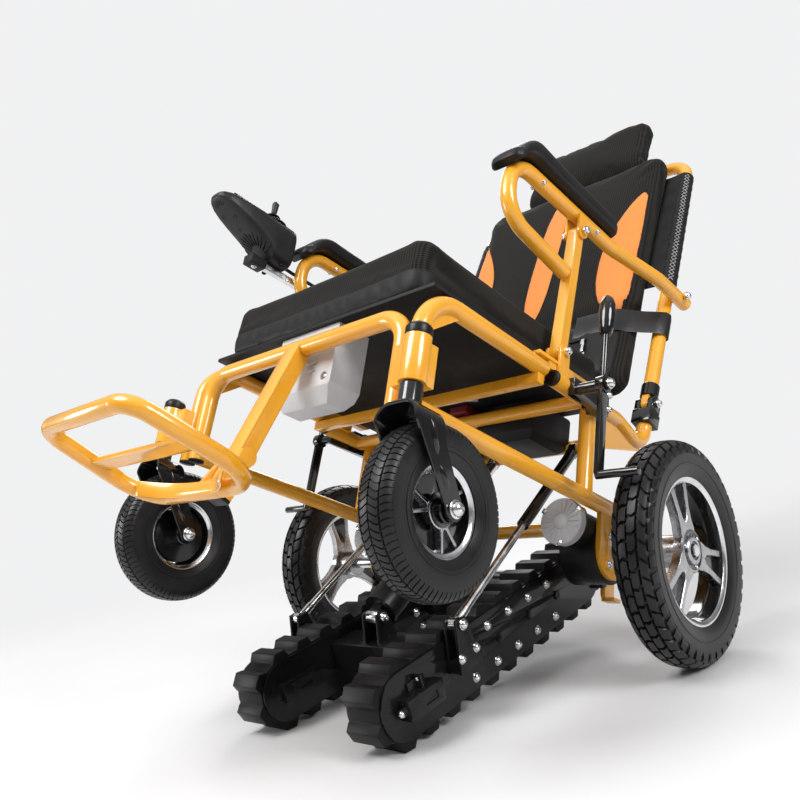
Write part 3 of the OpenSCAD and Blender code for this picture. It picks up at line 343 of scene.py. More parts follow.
# mesh helpers, all in chair millimetres
class Shape:
    def __init__(self):
        self.verts, self.faces, self.slots, self.count = [], [], [], 0

    def add(self, verts, faces, slot=0, frame=None):
        p = np.asarray(verts, float).reshape(-1, 3)
        if frame is not None:
            p = frame(p)
        self.verts.append(p)
        self.faces += [tuple(i + self.count for i in f) for f in faces]
        self.slots += [slot]*len(faces)
        self.count += len(p)
        return self

    def grid(self, points, around=False, along=False, slot=0, frame=None):   # rows of points into quads
        p = np.asarray(points, float)
        rows, cols = p.shape[:2]
        faces = [(i*cols + j, i*cols + (j + 1) % cols, (i + 1) % rows*cols + (j + 1) % cols,
                  (i + 1) % rows*cols + j) for i in range(rows if along else rows - 1)
                 for j in range(cols if around else cols - 1)]
        return self.add(p.reshape(-1, 3), faces, slot, frame)

    def loft(self, rows):   # closed rings of points, capped at both ends
        p = np.array(rows)
        count, sides = p.shape[:2]
        last = self.count + (count - 1)*sides
        caps = [tuple(range(self.count, self.count + sides))[::-1], tuple(range(last, last + sides))]
        self.grid(p, around=True)
        self.faces += caps
        self.slots += [0]*len(caps)
        return self

    def doubled(self):   # with its mirror image on the other side
        both = Shape()
        for m in (1, -1):
            both.add(np.concatenate(self.verts)*np.array([m, 1, 1]), [f[::m] for f in self.faces])
        both.slots = self.slots*2
        return both

    def lathe(self, at, aim, profile, sides=32, slot=0, frame=None,
              loop=False):   # profile of (height, radius)
        axis = Vector(aim).normalized()
        side = axis.orthogonal().normalized()
        up = axis.cross(side)
        turn = [2*math.pi*k/sides for k in range(sides)]
        rows = [[Vector(at) + axis*h + (side*math.cos(t) + up*math.sin(t))*max(r, 0.001) for t in turn]
                for h, r in profile]
        return self.grid(np.array([[list(q) for q in row] for row in rows]), around=True, along=loop,
                         slot=slot, frame=frame)

    def bolt(self, at, aim, radius, height, slot=0, frame=None):   # dome head on a washer
        w = radius*1.18
        prof = [(0, w), (height*0.16, w), (height*0.2, w*0.96), (height*0.22, radius),
                (height*0.5, radius*0.97), (height*0.78, radius*0.8), (height*0.95, radius*0.5),
                (height, radius*0.34), (height*0.72, radius*0.3), (height*0.7, 0)]
        return self.lathe(at, aim, prof, 20, slot, frame)

    def brick(self, low, high, edge=1.0, slot=0, frame=None, steps=2):
        bm = bmesh.new()
        bmesh.ops.create_cube(bm, size=1.0)
        size = [h - l for l, h in zip(low, high)]
        bmesh.ops.scale(bm, vec=size, verts=bm.verts)
        bmesh.ops.translate(bm, vec=[(l + h)/2 for l, h in zip(low, high)], verts=bm.verts)
        bmesh.ops.bevel(bm, geom=bm.edges[:], offset=edge, segments=steps, affect="EDGES", profile=0.6)
        return self.take(bm, slot, frame)

    def plate(self, outline, x0, x1, edge=0.8, slot=0, frame=None,
              steps=2):   # (y, z) outline, thick along x
        bm = bmesh.new()
        low = [bm.verts.new((x0, y, z)) for y, z in outline]
        high = [bm.verts.new((x1, y, z)) for y, z in outline]
        n = len(outline)
        bm.faces.new(low)
        bm.faces.new(high[::-1])
        for i in range(n):
            bm.faces.new((low[i], high[i], high[(i + 1) % n], low[(i + 1) % n]))
        bmesh.ops.recalc_face_normals(bm, faces=bm.faces)
        rim = [e for e in bm.edges if abs(e.verts[0].co.x - e.verts[1].co.x) < 1e-6]
        bmesh.ops.bevel(bm, geom=rim, offset=edge, segments=steps, affect="EDGES", profile=0.6)
        return self.take(bm, slot, frame)

    def take(self, bm, slot=0, frame=None):
        bm.verts.index_update()
        verts = [v.co[:] for v in bm.verts]
        faces = [[v.index for v in f.verts] for f in bm.faces]
        bm.free()
        return self.add(verts, faces, slot, frame)

    def tube(self, path, radius, sides=16, slot=0, frame=None, ends=True):
        p = [Vector(q) for q in path]
        n = len(p)
        dirs = [(p[min(i + 1, n - 1)] - p[max(i - 1, 0)]).normalized() for i in range(n)]
        side = dirs[0].orthogonal().normalized()
        rows = []
        for i in range(n):
            side = (side - dirs[i]*side.dot(dirs[i])).normalized()
            up = dirs[i].cross(side)
            r = radius[i] if hasattr(radius, "__len__") else radius
            rows.append([list(p[i] + (side*math.cos(2*math.pi*k/sides) + up*math.sin(2*math.pi*k/sides))*r)
                         for k in range(sides)])
        self.grid(np.array(rows), around=True, slot=slot, frame=frame)
        if ends:
            for row in (rows[0][::-1], rows[-1]):
                self.add(row, [tuple(range(sides))], slot, frame)
        return self

    def build(self, name, body, finishNames, slotName, replaced=(), sharp=35, mirrored=False):
        p = np.concatenate(self.verts)
        faces = self.faces
        if mirrored:
            p = p*np.array([-1.0, 1, 1])
            faces = [f[::-1] for f in faces]
        mesh = bpy.data.meshes.new(name)
        mesh.from_pydata(placed(p).tolist(), [], faces)
        for f in finishNames:
            mesh.materials.append(finishes[f])
        mesh.polygons.foreach_set("material_index", self.slots)
        bm = bmesh.new()
        bm.from_mesh(mesh)
        bmesh.ops.remove_doubles(bm, verts=bm.verts, dist=0.00001)
        bmesh.ops.recalc_face_normals(bm, faces=bm.faces)
        bm.to_mesh(mesh)
        bm.free()
        mesh.shade_smooth()
        mesh.set_sharp_from_angle(angle=math.radians(sharp))
        obj = bpy.data.objects.new(name, mesh)
        scene.collection.objects.link(obj)
        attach(obj, body)
        if replaced:
            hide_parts(*replaced)
        return obj


def sideBoth(shape, name, bodyLeft, bodyRight, finishNames, slotName, node=None, sharp=35):
    made = []
    for side, body, mirrored in (("left", bodyLeft, False), ("right", bodyRight, True)):
        made.append(shape.build(f"{name}_{side}", body, finishNames, slotName, [f"{node}_{side}"] if node
                                else (), sharp, mirrored))
    return made


def wheelFrame(x, y, z):   # local (across, radius, angle) to chair space
    def put(across, radius, angle):
        return np.stack([x + across, y + radius*np.cos(angle), z + radius*np.sin(angle)], axis=-1)
    return put


# rear wheels: block-tread tyre, three split spokes
rearWheel = {"x": 346.0, "y": 0.0, "z": 157.0, "radius": 157.0, "width": 57.0, "bead": 104.5,
             "blocks": 42, "groove": 5.2}


def tyreSection(radius, width, bead, steps):   # (across, radius) from bead to bead over the crown
    mid = (radius + bead)/2 + 4
    sweep = math.radians(133)   # crown to bead
    out = []
    for k in range(steps + 1):
        t = -1 + 2*k/steps
        a = t*sweep
        s, c = math.sin(a), math.cos(a)
        across = math.copysign(abs(s)**0.82, s)*width/2
        up = math.copysign(abs(c)**0.80, c)
        r = mid + (radius - mid)*up
        if c <= 0:
            r = mid + (mid - bead + 2)*up/abs(math.cos(sweep))**0.8
        out.append((across, r))
    return out


def treadTyre(w, bands, cell, stagger):   # bands of (edge to edge in share of the width, offset in a cell)
    put = wheelFrame(w["x"], w["y"], w["z"])
    base = tyreSection(w["radius"], w["width"], w["bead"], 48)
    arc = [0.0]
    for a, b in zip(base, base[1:]):
        arc.append(arc[-1] + math.hypot(b[0] - a[0], b[1] - a[1]))
    total = arc[-1]
    stations = sorted(set([round(q/total, 4) for q in arc[::2]] + [round(v, 4) for b in bands for e, d in
                      ((b[0], 0.004), (b[1], -0.004)) for v in (e, e + d)]))
    across = np.interp(np.array(stations)*total, arc, [b[0] for b in base])
    radius = np.interp(np.array(stations)*total, arc, [b[1] for b in base])
    columns = np.array([(k + f)/w["blocks"]*2*math.pi for k in range(w["blocks"]) for f in cell])
    share = np.array([f for k in range(w["blocks"]) for f in cell])
    lift = np.zeros((len(stations), len(columns)))
    for i, s in enumerate(stations):
        for low, high, offset, gap in bands:
            if low + 0.003 <= s <= high - 0.003:
                f = (share + offset) % 1.0
                lift[i] = np.where((f > gap + 0.01) & (f < 0.985), 1.0, 0.0)
    mask = np.array([1.0 if any(b[0] - 0.001 <= s <= b[1] + 0.001 for b in bands)
                     or bands[0][0] < s < bands[-1][1] else 0.0 for s in stations])
    rows = []
    for i in range(len(stations)):
        r = radius[i] - w["groove"]*mask[i]*(1 - lift[i])
        shear = stagger(across[i]/(w["width"]/2))
        rows.append(put(np.full(len(columns), across[i]), r, columns + shear))
    return np.array(rows)


rearBands = [(0.255, 0.315, 0.0, 0.30), (0.33, 0.405, 0.5, 0.16), (0.42, 0.495, 0.0, 0.16),
             (0.505, 0.58, 0.5, 0.16), (0.595, 0.67, 0.0, 0.16), (0.685, 0.745, 0.5, 0.30)]
rearCells = [0.0, 0.16, 0.20, 0.30, 0.34, 0.48, 0.5, 0.66, 0.70, 0.80, 0.84, 0.98]
tread = treadTyre(rearWheel, rearBands, rearCells, lambda q: 0.022*math.sin(q*9.5))
rearTyre = Shape().grid(tread, around=True)
for side in (-1, 1):   # raised rings on the sidewall
    rings = [(side*27.6, 121.0), (side*28.6, 121.6), (side*28.7, 123.0), (side*27.6, 123.6)]
    rearTyre.lathe((rearWheel["x"], 0, rearWheel["z"]), (1, 0, 0), rings, 96)
    beads = [(side*20.0, 103.8), (side*23.2, 104.4), (side*24.0, 106.5), (side*23.0, 108.5)]
    rearTyre.lathe((rearWheel["x"], 0, rearWheel["z"]), (1, 0, 0), beads, 96)
sideBoth(rearTyre, "rearTyre", "wheel_left", "wheel_right", ["tyreRubber"], "tyre_black", "rear_tyre", 28)
print("rear tyres made")


def splitRim(w, arms, turn):   # chrome lip, black barrel, three split spokes with black pockets
    c = (w["x"], w["y"], w["z"])
    rr, lip, half = w["bead"], w["lip"], w["width"]/2
    s = Shape()
    for side in (1, -1):
        e = half - w["tuck"]
        s.lathe(c, (1, 0, 0), [(side*(e - 2.2), rr + 0.2), (side*(e - 0.6), rr + 0.1), (side*e, rr - 0.8),
                               (side*(e + 0.2), rr - 2.2), (side*(e - 0.6), rr - lip*0.55),
                               (side*(e - 1.8), rr - lip*0.8), (side*(e - 3.4), rr - lip)], 96, 1)
        s.lathe(c, (1, 0, 0), [(side*(e - 3.4), rr - lip), (side*(e - 6), rr - lip - 0.6),
                               (side*3, rr - lip - 3.5), (0, rr - lip - 4)], 96, 2)
    s.lathe(c, (1, 0, 0), [(-half + w["tuck"] + 2, rr + 0.2), (half - w["tuck"] - 2, rr + 0.2)], 96, 2)
    for k in range(3):
        a = math.radians(turn + 120*k)

        def swing(p, a=a):   # local (across, along the spoke, sideways)
            q = np.asarray(p, float)
            return np.stack([c[0] + q[:, 0], c[1] + q[:, 1]*math.cos(a) - q[:, 2]*math.sin(a),
                             c[2] + q[:, 1]*math.sin(a) + q[:, 2]*math.cos(a)], axis=-1)
        reach = rr - lip - 2.0
        for m in (-1, 1):
            outline = [(u*reach, m*v*reach) for u, v in arms["outline"]]
            s.plate(outline if m > 0 else outline[::-1], arms["low"], arms["high"], arms["edge"], 0, swing,
                    3)
        web = [(u*reach, v*reach) for u, v in arms["web"]]
        s.plate(web, arms["low"] + 1, arms["high"] - arms["sunk"], 0.3, 2, swing)
    return s


rearWheel.update({"lip": 9.5, "tuck": 7.0})
rearArms = {"outline": [(0.10, 0.0), (0.12, 0.20), (0.30, 0.225), (0.42, 0.20), (0.62, 0.20), (1.0, 0.275),
                        (1.0, 0.17), (0.66, 0.105), (0.50, 0.065), (0.44, 0.0)],
            "web": [(0.40, -0.07), (0.66, -0.12), (1.0, -0.19), (1.0, 0.19), (0.66, 0.12), (0.40, 0.07)],
            "low": 2.0, "high": 16.0, "edge": 1.6, "sunk": 6.0}
rearRim = splitRim(rearWheel, rearArms, 118)
hubAt = (rearWheel["x"], rearWheel["y"], rearWheel["z"])
rearRim.lathe(hubAt, (1, 0, 0), [(-26, 0), (-26, 22), (-25, 23), (2, 23), (3, 31), (14, 31), (16.4, 29.5),
                                 (17, 27)], 64, 0)
rearRim.lathe(hubAt, (1, 0, 0), [(17, 27), (16.2, 25.5), (16.2, 20)], 64, 2)
rearRim.lathe(hubAt, (1, 0, 0), [(16.2, 20), (18.2, 19.6), (19.4, 18.4), (19.8, 15), (19.6, 13.2)], 48, 0)
rearRim.lathe(hubAt, (1, 0, 0), [(19.6, 13.2), (18.2, 12.4), (18.2, 9.5)], 48, 2)
rearRim.lathe(hubAt, (1, 0, 0), [(18.2, 9.5), (21.2, 9.3), (22.6, 8.2), (23, 5), (22.6, 0)], 6, 1)
rearRim.lathe((208, 0, 157), (1, 0, 0), [(0, 0), (0, 10), (112, 10)], 32, 1)
for k in range(3):
    a = math.radians(58 + 120*k)
    rearRim.bolt((rearWheel["x"] + 16.6, 23.4*math.cos(a), 157 + 23.4*math.sin(a)), (1, 0, 0), 2.6, 2.6, 1)
sideBoth(rearRim, "rearRim", "wheel_left", "wheel_right", ["machinedAlloy", "brightSteel", "blackPaint"],
         "rim_alloy", "rear_rim", 30)

# casters: finer chevron tread, rings on the wall, thin split spokes
casterWheel = {"x": 267.0, "y": -435.0, "z": 100.0, "radius": 100.0, "width": 50.0, "bead": 55.0,
               "blocks": 74, "groove": 2.4, "lip": 8.5, "tuck": 7.0}
casterBands = [(0.27, 0.385, 0.0, 0.17), (0.395, 0.497, 0.0, 0.17), (0.503, 0.605, 0.0, 0.17),
               (0.615, 0.73, 0.0, 0.17)]
casterCells = [0.0, 0.17, 0.22, 0.6, 0.98]


def chevron(q):   # zigzag of the grooves across the tread
    t = abs(q)
    return 0.16*(t if t < 0.42 else 0.84 - t if t < 0.8 else 0.04)


casterTyre = Shape().grid(treadTyre(casterWheel, casterBands, casterCells, chevron), around=True)
casterAt = (casterWheel["x"], casterWheel["y"], casterWheel["z"])
for side in (-1, 1):
    for r in (66.0, 71.0, 84.0):
        casterTyre.lathe(casterAt, (1, 0, 0),
                         [(side*(casterWheel["width"]/2 - 1.6), r - 1.2),
                          (side*(casterWheel["width"]/2 - 0.2), r - 0.5),
                          (side*(casterWheel["width"]/2 - 0.2), r + 0.5),
                          (side*(casterWheel["width"]/2 - 1.6), r + 1.2)], 96)
    casterTyre.lathe(casterAt, (1, 0, 0),
                     [(side*16.5, 54.2), (side*19.5, 54.8), (side*20.2, 57), (side*19, 59)], 96)
sideBoth(casterTyre, "casterTyre", "caster_left", "caster_right", ["tyreRubber"], "tyre_black",
         "caster_tyre", 28)

casterArms = {"outline": [(0.26, 0.0), (0.28, 0.14), (0.45, 0.15), (0.62, 0.19), (1.0, 0.34), (1.0, 0.24),
                          (0.66, 0.115), (0.52, 0.07), (0.46, 0.0)],
              "web": [(0.42, -0.08), (0.66, -0.13), (1.0, -0.26), (1.0, 0.26), (0.66, 0.13), (0.42, 0.08)],
              "low": 2.0, "high": 12.0, "edge": 0.9, "sunk": 5.0}
casterRim = splitRim(casterWheel, casterArms, 60)
casterRim.lathe(casterAt, (1, 0, 0),
                [(-25, 6.1), (-25, 14), (-23.5, 15.5), (-9, 16), (9, 16), (23.5, 15.5), (25, 14),
                 (25, 6.1)], 48, 2)
casterRim.lathe(casterAt, (1, 0, 0), [(8, 20), (10, 21), (13.4, 20.5), (14, 19), (13, 16)], 48, 0)
casterRim.lathe(casterAt, (1, 0, 0), [(-6, 16), (-6, 41), (1.5, 42), (1.5, 16)], 64, 2)
sideBoth(casterRim, "casterRim", "caster_left", "caster_right",
         ["machinedAlloy", "brightSteel", "blackPaint"], "rim_alloy", "caster_rim", 30)
print("wheels made")

# soft pieces: shaped, puffed by a short cloth run, then set in place of the plain ones
backLine = {"recline": math.radians(14), "y": 81, "z": 427}
fromPart = np.array(toPart.inverted())


def onBack(p):   # (x, depth behind the canes, height up the canes) to chair space
    q = np.asarray(p, float).reshape(-1, 3)
    s, c = math.sin(backLine["recline"]), math.cos(backLine["recline"])
    return np.stack([q[:, 0], backLine["y"] + q[:, 1]*c + q[:, 2]*s, backLine["z"] - q[:, 1]*s + q[:, 2]*c],
                    axis=-1)


def offBack(p):
    q = np.asarray(p, float).reshape(-1, 3)
    s, c = math.sin(backLine["recline"]), math.cos(backLine["recline"])
    y, z = q[:, 1] - backLine["y"], q[:, 2] - backLine["z"]
    return np.stack([q[:, 0], y*c - z*s, y*s + z*c], axis=-1)


def outlineRing(w, l, r, pull, side=16, turn=8):
    pts = []
    for k in range(4):
        a, b = (w/2, l/2) if k % 2 == 0 else (l/2, w/2)
        c, s = math.cos(math.pi/2*k), math.sin(math.pi/2*k)
        run = [(a - pull*(1 - (2*i/side - 1)**2), (2*i/side - 1)*(b - r)) for i in range(side)]
        run += [(a - r + r*math.cos(math.pi/2*i/turn), b - r + r*math.sin(math.pi/2*i/turn))
                for i in range(turn)]
        pts += [(x*c - y*s, x*s + y*c) for x, y in run]
    return np.array(pts)


def pillow(spec):   # flat back, drawn-in sides, rounded rim, crowned face; local (across, along, up)
    w, l, t, crown = spec["wide"], spec["long"], spec["thick"], spec["crown"]
    ring = outlineRing(w, l, spec["corner"], spec["pull"])
    rim = t - crown
    e = spec["edge"]
    prof = [(0.02, 0, 0), (0.5, 0, 0), (1, 6, 0), (1, 2, 2), (1, 0, rim*0.2), (1, 0, rim*0.5),
            (1, 0, rim - e)]
    prof += [(1, e*(1 - math.cos(a)), rim - e + e*math.sin(a)) for a in (0.4, 0.8, 1.15, 1.45)]
    prof += [(k, e, rim + crown*(1 - k**2.2)) for k in (0.92, 0.82, 0.68, 0.5, 0.3, 0.02)]
    rows = []
    for k, cut, up in prof:
        rows.append(np.column_stack([ring[:, 0]*k*(w - 2*cut)/w, ring[:, 1]*k*(l - 2*cut)/l,
                                     np.full(len(ring), up)]))
    return Shape().loft(rows)


def meshOf(obj):
    bpy.context.view_layer.update()
    deps = bpy.context.evaluated_depsgraph_get()
    return bpy.data.meshes.new_from_object(obj.evaluated_get(deps))


def pointsOf(mesh):
    p = np.empty(len(mesh.vertices)*3)
    mesh.vertices.foreach_get("co", p)
    return p.reshape(-1, 3)


def puffed(name, spec, outward, inward, body, finishName, node):
    s = pillow(spec)
    s.verts = [outward(p) for p in s.verts]
    obj = s.build(name, body, [finishName], "cushion_cloth", [node], 180)
    tidy = obj.modifiers.new("cells", "REMESH")
    tidy.mode = "VOXEL"
    tidy.voxel_size = spec["cell"]/1000
    ease = obj.modifiers.new("ease", "SMOOTH")   # takes out the steps of the cells
    ease.factor, ease.iterations = 0.5, 6
    obj.data = meshOf(obj)
    obj.modifiers.clear()
    rest = pointsOf(obj.data)
    local = inward(rest)
    held = spec["held"](local)
    rest = rest + placedTurn(spec["draw"](local))
    obj.data.vertices.foreach_set("co", rest.ravel())
    group = obj.vertex_groups.new(name="held")
    group.add([int(i) for i in np.nonzero(held)[0]], 1.0, "REPLACE")
    cloth = obj.modifiers.new("puff", "CLOTH")
    cs = cloth.settings
    cs.quality = 5
    cs.mass = 0.25
    cs.tension_stiffness = cs.compression_stiffness = 18
    cs.shear_stiffness = 10
    cs.bending_stiffness = spec["stiff"]
    cs.vertex_group_mass = "held"
    cs.shrink_min = -spec["slack"]
    cs.use_pressure = True
    cs.uniform_pressure_force = 4.0
    cs.effector_weights.gravity = 0
    cloth.collision_settings.use_collision = False
    cloth.point_cache.frame_start, cloth.point_cache.frame_end = 1, 20
    for f in range(1, 21):
        scene.frame_set(f)
    bpy.context.view_layer.update()
    moved = pointsOf(obj.evaluated_get(bpy.context.evaluated_depsgraph_get()).data)
    step = moved - rest
    far = np.linalg.norm(step, axis=1, keepdims=True)
    cap = spec["cap"]/1000
    step *= np.tanh(far/cap)*cap/np.maximum(far, 1e-9)
    obj.modifiers.clear()
    scene.frame_set(1)
    obj.data.vertices.foreach_set("co", (rest + step).ravel())
    print(name, "puffed", len(rest), "points, most",
          round(float(np.linalg.norm(step, axis=1).max())*1000, 1), "mm")
    fine = obj.modifiers.new("fine", "SUBSURF")
    fine.levels = fine.render_levels = 1
    obj.data = meshOf(obj)
    obj.modifiers.clear()
    obj.data.shade_smooth()
    if "band" in spec:   # smooth cloth below the seam
        obj.data.materials.append(finishes["plainCloth"])
        up = inward(pointsOf(obj.data))[:, 2]
        obj.data.polygons.foreach_set("material_index", [int(max(up[v] for v in f.vertices) < spec["band"])
                                                          for f in obj.data.polygons])
    return obj


def placedTurn(v):   # directions from chair millimetres to the part
    return np.asarray(v, float) @ toPartArray[:3, :3].T


def toChair(p):
    return np.asarray(p, float) @ fromPart[:3, :3].T + fromPart[:3, 3]


def dent(local, where, depth, wide, spec):   # pulls the sides in along a seam at one height
    q = np.zeros((len(local), 3))
    x, y, up = local[:, 0], local[:, 1], local[:, 2]
    near = np.exp(-((up - where)/wide)**2)
    edge = np.maximum(np.abs(x)/(spec["wide"]/2), np.abs(y)/(spec["long"]/2))
    near = near*(edge > 0.93)
    q[:, 0] = -np.sign(x)*near*depth*(np.abs(x) > spec["wide"]/2 - 14)
    q[:, 1] = -np.sign(y)*near*depth*(np.abs(y) > spec["long"]/2 - 14)
    return q


seatAt = np.array([0, -231.0, 394.0])
seat = {"wide": 428, "long": 446, "thick": 94, "crown": 8, "corner": 24, "pull": 3, "edge": 13, "cell": 6.0,
        "stiff": 2.0, "slack": 0.008, "cap": 3.5, "fill": 0.8, "seam": 34, "band": 34}
seat["held"] = lambda p: (p[:, 2] < 4) | (np.abs(p[:, 2] - seat["seam"]) < 3.2)
seat["draw"] = lambda p: dent(p, seat["seam"], 1.6, 3.2, seat)
puffed("seatCushion", seat, lambda p: p + seatAt,
                 lambda p: toChair(p) - seatAt, "chassis", "cushionCloth", "seat_cushion")

# back pad: a crease at the pouch
backMid = (12 + 623)/2
backSpec = {"wide": 442, "long": 609, "thick": 46, "crown": 8, "corner": 31, "pull": 4, "edge": 17,
            "cell": 6.0, "stiff": 1.0, "slack": 0.014, "cap": 5.0, "fill": 0.6}
pouchTop = 176.0


def backHeld(p):
    front = p[:, 2] > 30
    up = p[:, 1] + backMid
    return (p[:, 2] < 3) | (front & (np.abs(up - pouchTop) < 3.4))


def backDraw(p):
    q = np.zeros((len(p), 3))
    up = p[:, 1] + backMid
    deep = 5.0*np.exp(-((up - pouchTop)/5)**2)*(p[:, 2] > 24)
    return onBack(np.column_stack([q[:, 0], deep, q[:, 2]])) - onBack(q)


backSpec["held"], backSpec["draw"] = backHeld, backDraw


def backOut(p):
    return onBack(np.column_stack([p[:, 0], -16 - p[:, 2], p[:, 1] + backMid]))


def backIn(p):
    q = offBack(toChair(p))
    return np.column_stack([q[:, 0], q[:, 2] - backMid, -16 - q[:, 1]])


backPad = puffed("backPad", backSpec, backOut, backIn, "back", "cushionCloth", "back_pad")

head = {"wide": 298, "long": 170, "thick": 50, "crown": 10, "corner": 35, "pull": 3, "edge": 20,
        "cell": 5.0, "stiff": 0.5, "slack": 0.045, "cap": 6.0, "fill": 0.45}
head["held"] = lambda p: (p[:, 2] < 3) | ((np.abs(p[:, 2] - 16) < 2.6) & (np.abs(p[:, 0]) < 146))
head["draw"] = lambda p: np.zeros((len(p), 3))
headMid = 623 + 104
puffed("headrest", head, lambda p: onBack(np.column_stack([p[:, 0], 9 - p[:, 2], p[:, 1] + headMid])),
       lambda p: np.column_stack([offBack(toChair(p))[:, 0], offBack(toChair(p))[:, 2] - headMid,
                                  9 - offBack(toChair(p))[:, 1]]), "headrest", "cushionCloth",
       "headrest_pad")
print("cushions made")


# sewn-on panels, laid on the puffed pad
def rounded(points, times=3):   # corner cutting
    p = np.asarray(points, float)
    for _ in range(times):
        nxt = np.roll(p, -1, axis=0)
        p = np.stack([p*0.78 + nxt*0.22, p*0.22 + nxt*0.78], axis=1).reshape(-1, 2)
    return p


def inside(points, loop):
    x, y = points[:, 0], points[:, 1]
    hit = np.zeros(len(points), bool)
    for (ax, ay), (bx, by) in zip(loop, np.roll(loop, -1, axis=0)):
        cross = ((ay > y) != (by > y)) & (x < (bx - ax)*(y - ay)/(by - ay + 1e-12) + ax)
        hit ^= cross
    return hit


def gapTo(points, loop):
    best = np.full(len(points), 1e9)
    for a, b in zip(loop, np.roll(loop, -1, axis=0)):
        d = b - a
        t = np.clip(((points - a) @ d)/max(d @ d, 1e-9), 0, 1)
        best = np.minimum(best, np.linalg.norm(points - a - t[:, None]*d, axis=1))
    return best


padTree = BVHTree.FromPolygons([v.co[:] for v in backPad.data.vertices],
                               [p.vertices[:] for p in backPad.data.polygons])
padAway = Vector(placedTurn(onBack([[0, 1, 0]]) - onBack([[0, 0, 0]]))[0]).normalized()


def padDepth(x, up):   # front of the pad at a place, as depth behind the canes
    start = Vector(placed(onBack([[x, -160, up]]))[0])
    hit = padTree.ray_cast(start, padAway)[0]
    return offBack(toChair([hit[:]]))[0][1] if hit is not None else -20.0


def sewn(name, outline, lift, rim, finishName, step=7.0):
    loop = rounded(outline)
    lo, hi = loop.min(0), loop.max(0)
    gx, gy = np.meshgrid(np.arange(lo[0], hi[0], step), np.arange(lo[1], hi[1], step))
    inner = np.column_stack([gx.ravel(), gy.ravel()])
    inner = inner[inside(inner, loop)]
    inner = inner[gapTo(inner, loop) > step*0.45]
    ring = loop + 0.0
    flat = [Vector(p) for p in np.concatenate([ring, inner])]
    verts, _, faces, _, _, _ = delaunay_2d_cdt(flat, [], [list(range(len(ring)))], 1, 0.001)
    p = np.array([v[:] for v in verts])
    share = np.clip(gapTo(p, loop)/rim, 0, 1)
    up = -0.8 + (lift + 0.8)*np.sin(share*math.pi/2)**0.8
    depth = np.array([padDepth(x, y) for x, y in p]) - up
    s = Shape().add(onBack(np.column_stack([p[:, 0], depth, p[:, 1]])), [tuple(f) for f in faces])
    obj = s.build(name, "back", [finishName], "cushion_cloth", (), 180)
    edge = Shape()
    track = onBack([[x, padDepth(x, y) - 0.4, y] for x, y in loop[::2]])
    edge.tube(np.vstack([track, track[:1]]).tolist(), 1.15, 8)
    edge.build(name + "Seam", "back", ["plainCloth"], "cushion_cloth", (), 180)
    return obj


wing = [(204, 178), (206, 300), (206, 420), (204, 520), (182, 486), (158, 440), (136, 380), (130, 318),
        (134, 256), (150, 206), (176, 186)]
sewn("wingLeft", wing, 3.0, 12, "wingCloth")
sewn("wingRight", [(-x, y) for x, y in wing[::-1]], 3.0, 12, "wingCloth")
sewn("midStripe", [(-30, 205), (30, 205), (27, 560), (-27, 560)], 2.5, 10, "wingCloth")
sewn("pouch", [(-196, 22), (196, 22), (203, 60), (203, 150), (192, 168), (-192, 168), (-203, 150),
               (-203, 60)], 9.0, 22, "plainCloth", 8.0)

# laced covers round the canes, waist strap and zip
cover = {"cane": 248.0, "from": 268.0, "to": 574.0, "radius": 15.7, "pitch": 9.2}
sleeve = Shape()
ups = np.linspace(cover["from"], cover["to"], 90)
turns = np.linspace(0, 2*math.pi, 40, endpoint=False)
rows = []
for up in ups:
    wave = 0.5*math.sin(up*0.31) + 0.35*math.sin(up*0.83 + 1.2)
    r = cover["radius"] + wave*np.cos(turns*2 + up*0.05) - 1.2*math.exp(-((up - cover["from"])/5)**2)
    rows.append(onBack(np.column_stack([cover["cane"] + r*np.cos(turns), r*np.sin(turns),
                                        np.full(40, up)])))
sleeve.grid(np.array(rows), around=True)
web = []
for up in ups:
    lap = [(245, -15.4), (233, -14.6), (222, -14.6), (212, -15.0), (200, -15.4), (200, -13.0), (222, -11.8),
           (240, -11.0)]
    web.append(onBack([[x + 0.6*math.sin(up*0.2), d + 0.4*math.sin(up*0.13 + x), up] for x, d in lap]))
sleeve.grid(np.array(web), around=True)
covers = sleeve.doubled().build("caneCovers", "back", ["plainCloth"], "sleeve_cloth", ["cane_sleeves"], 60)
lace = Shape()
count = int((cover["to"] - cover["from"] - 16)/cover["pitch"])
for m in (1, -1):
    for phase in (0, 1):
        path = []
        for k in range(count + 1):
            up = cover["from"] + 8 + k*cover["pitch"]
            a = math.radians(-66 if (k + phase) % 2 else -34)
            for f in (0.0, 0.5):
                b = math.radians(-50) if f else a
                rr = cover["radius"] + 1.1 + (0.5 if f and phase else 0)
                path.append([m*(cover["cane"] + rr*math.cos(b)), rr*math.sin(b), up + f*cover["pitch"]])
        lace.tube(onBack(path).tolist(), 0.8, 6)
lace.build("coverLace", "back", ["laceCord"], "sleeve_cloth", (), 60)

strap = Shape()
for m in (1, -1):
    line = [(120, -67.5, 150), (150, -69, 152), (178, -68, 154), (200, -60, 157), (216, -46, 160),
            (232, -32, 164), (250, -19, 168), (261.5, -9, 171), (264.5, 1, 172), (260, 11, 172),
            (250, 15.5, 172), (238, 12, 172)]
    rows = []
    for x, d, up in line:
        nearPad = min(max((205 - x)/30, 0), 1)
        front = padDepth(min(x, 203), up) - 9.5 if nearPad > 0 else d
        d = d*(1 - nearPad) + min(d, front)*nearPad
        rows.append(onBack([[m*x, d - 1.3, up - 25], [m*x, d - 2.0, up - 23], [m*x, d - 2.0, up + 23],
                            [m*x, d - 1.3, up + 25], [m*x, d + 0.4, up + 23], [m*x, d + 0.4, up - 23]]))
    strap.grid(np.array(rows), around=True)
strap.build("waistStrap", "back", ["webbing"], "cushion_cloth", (), 40)

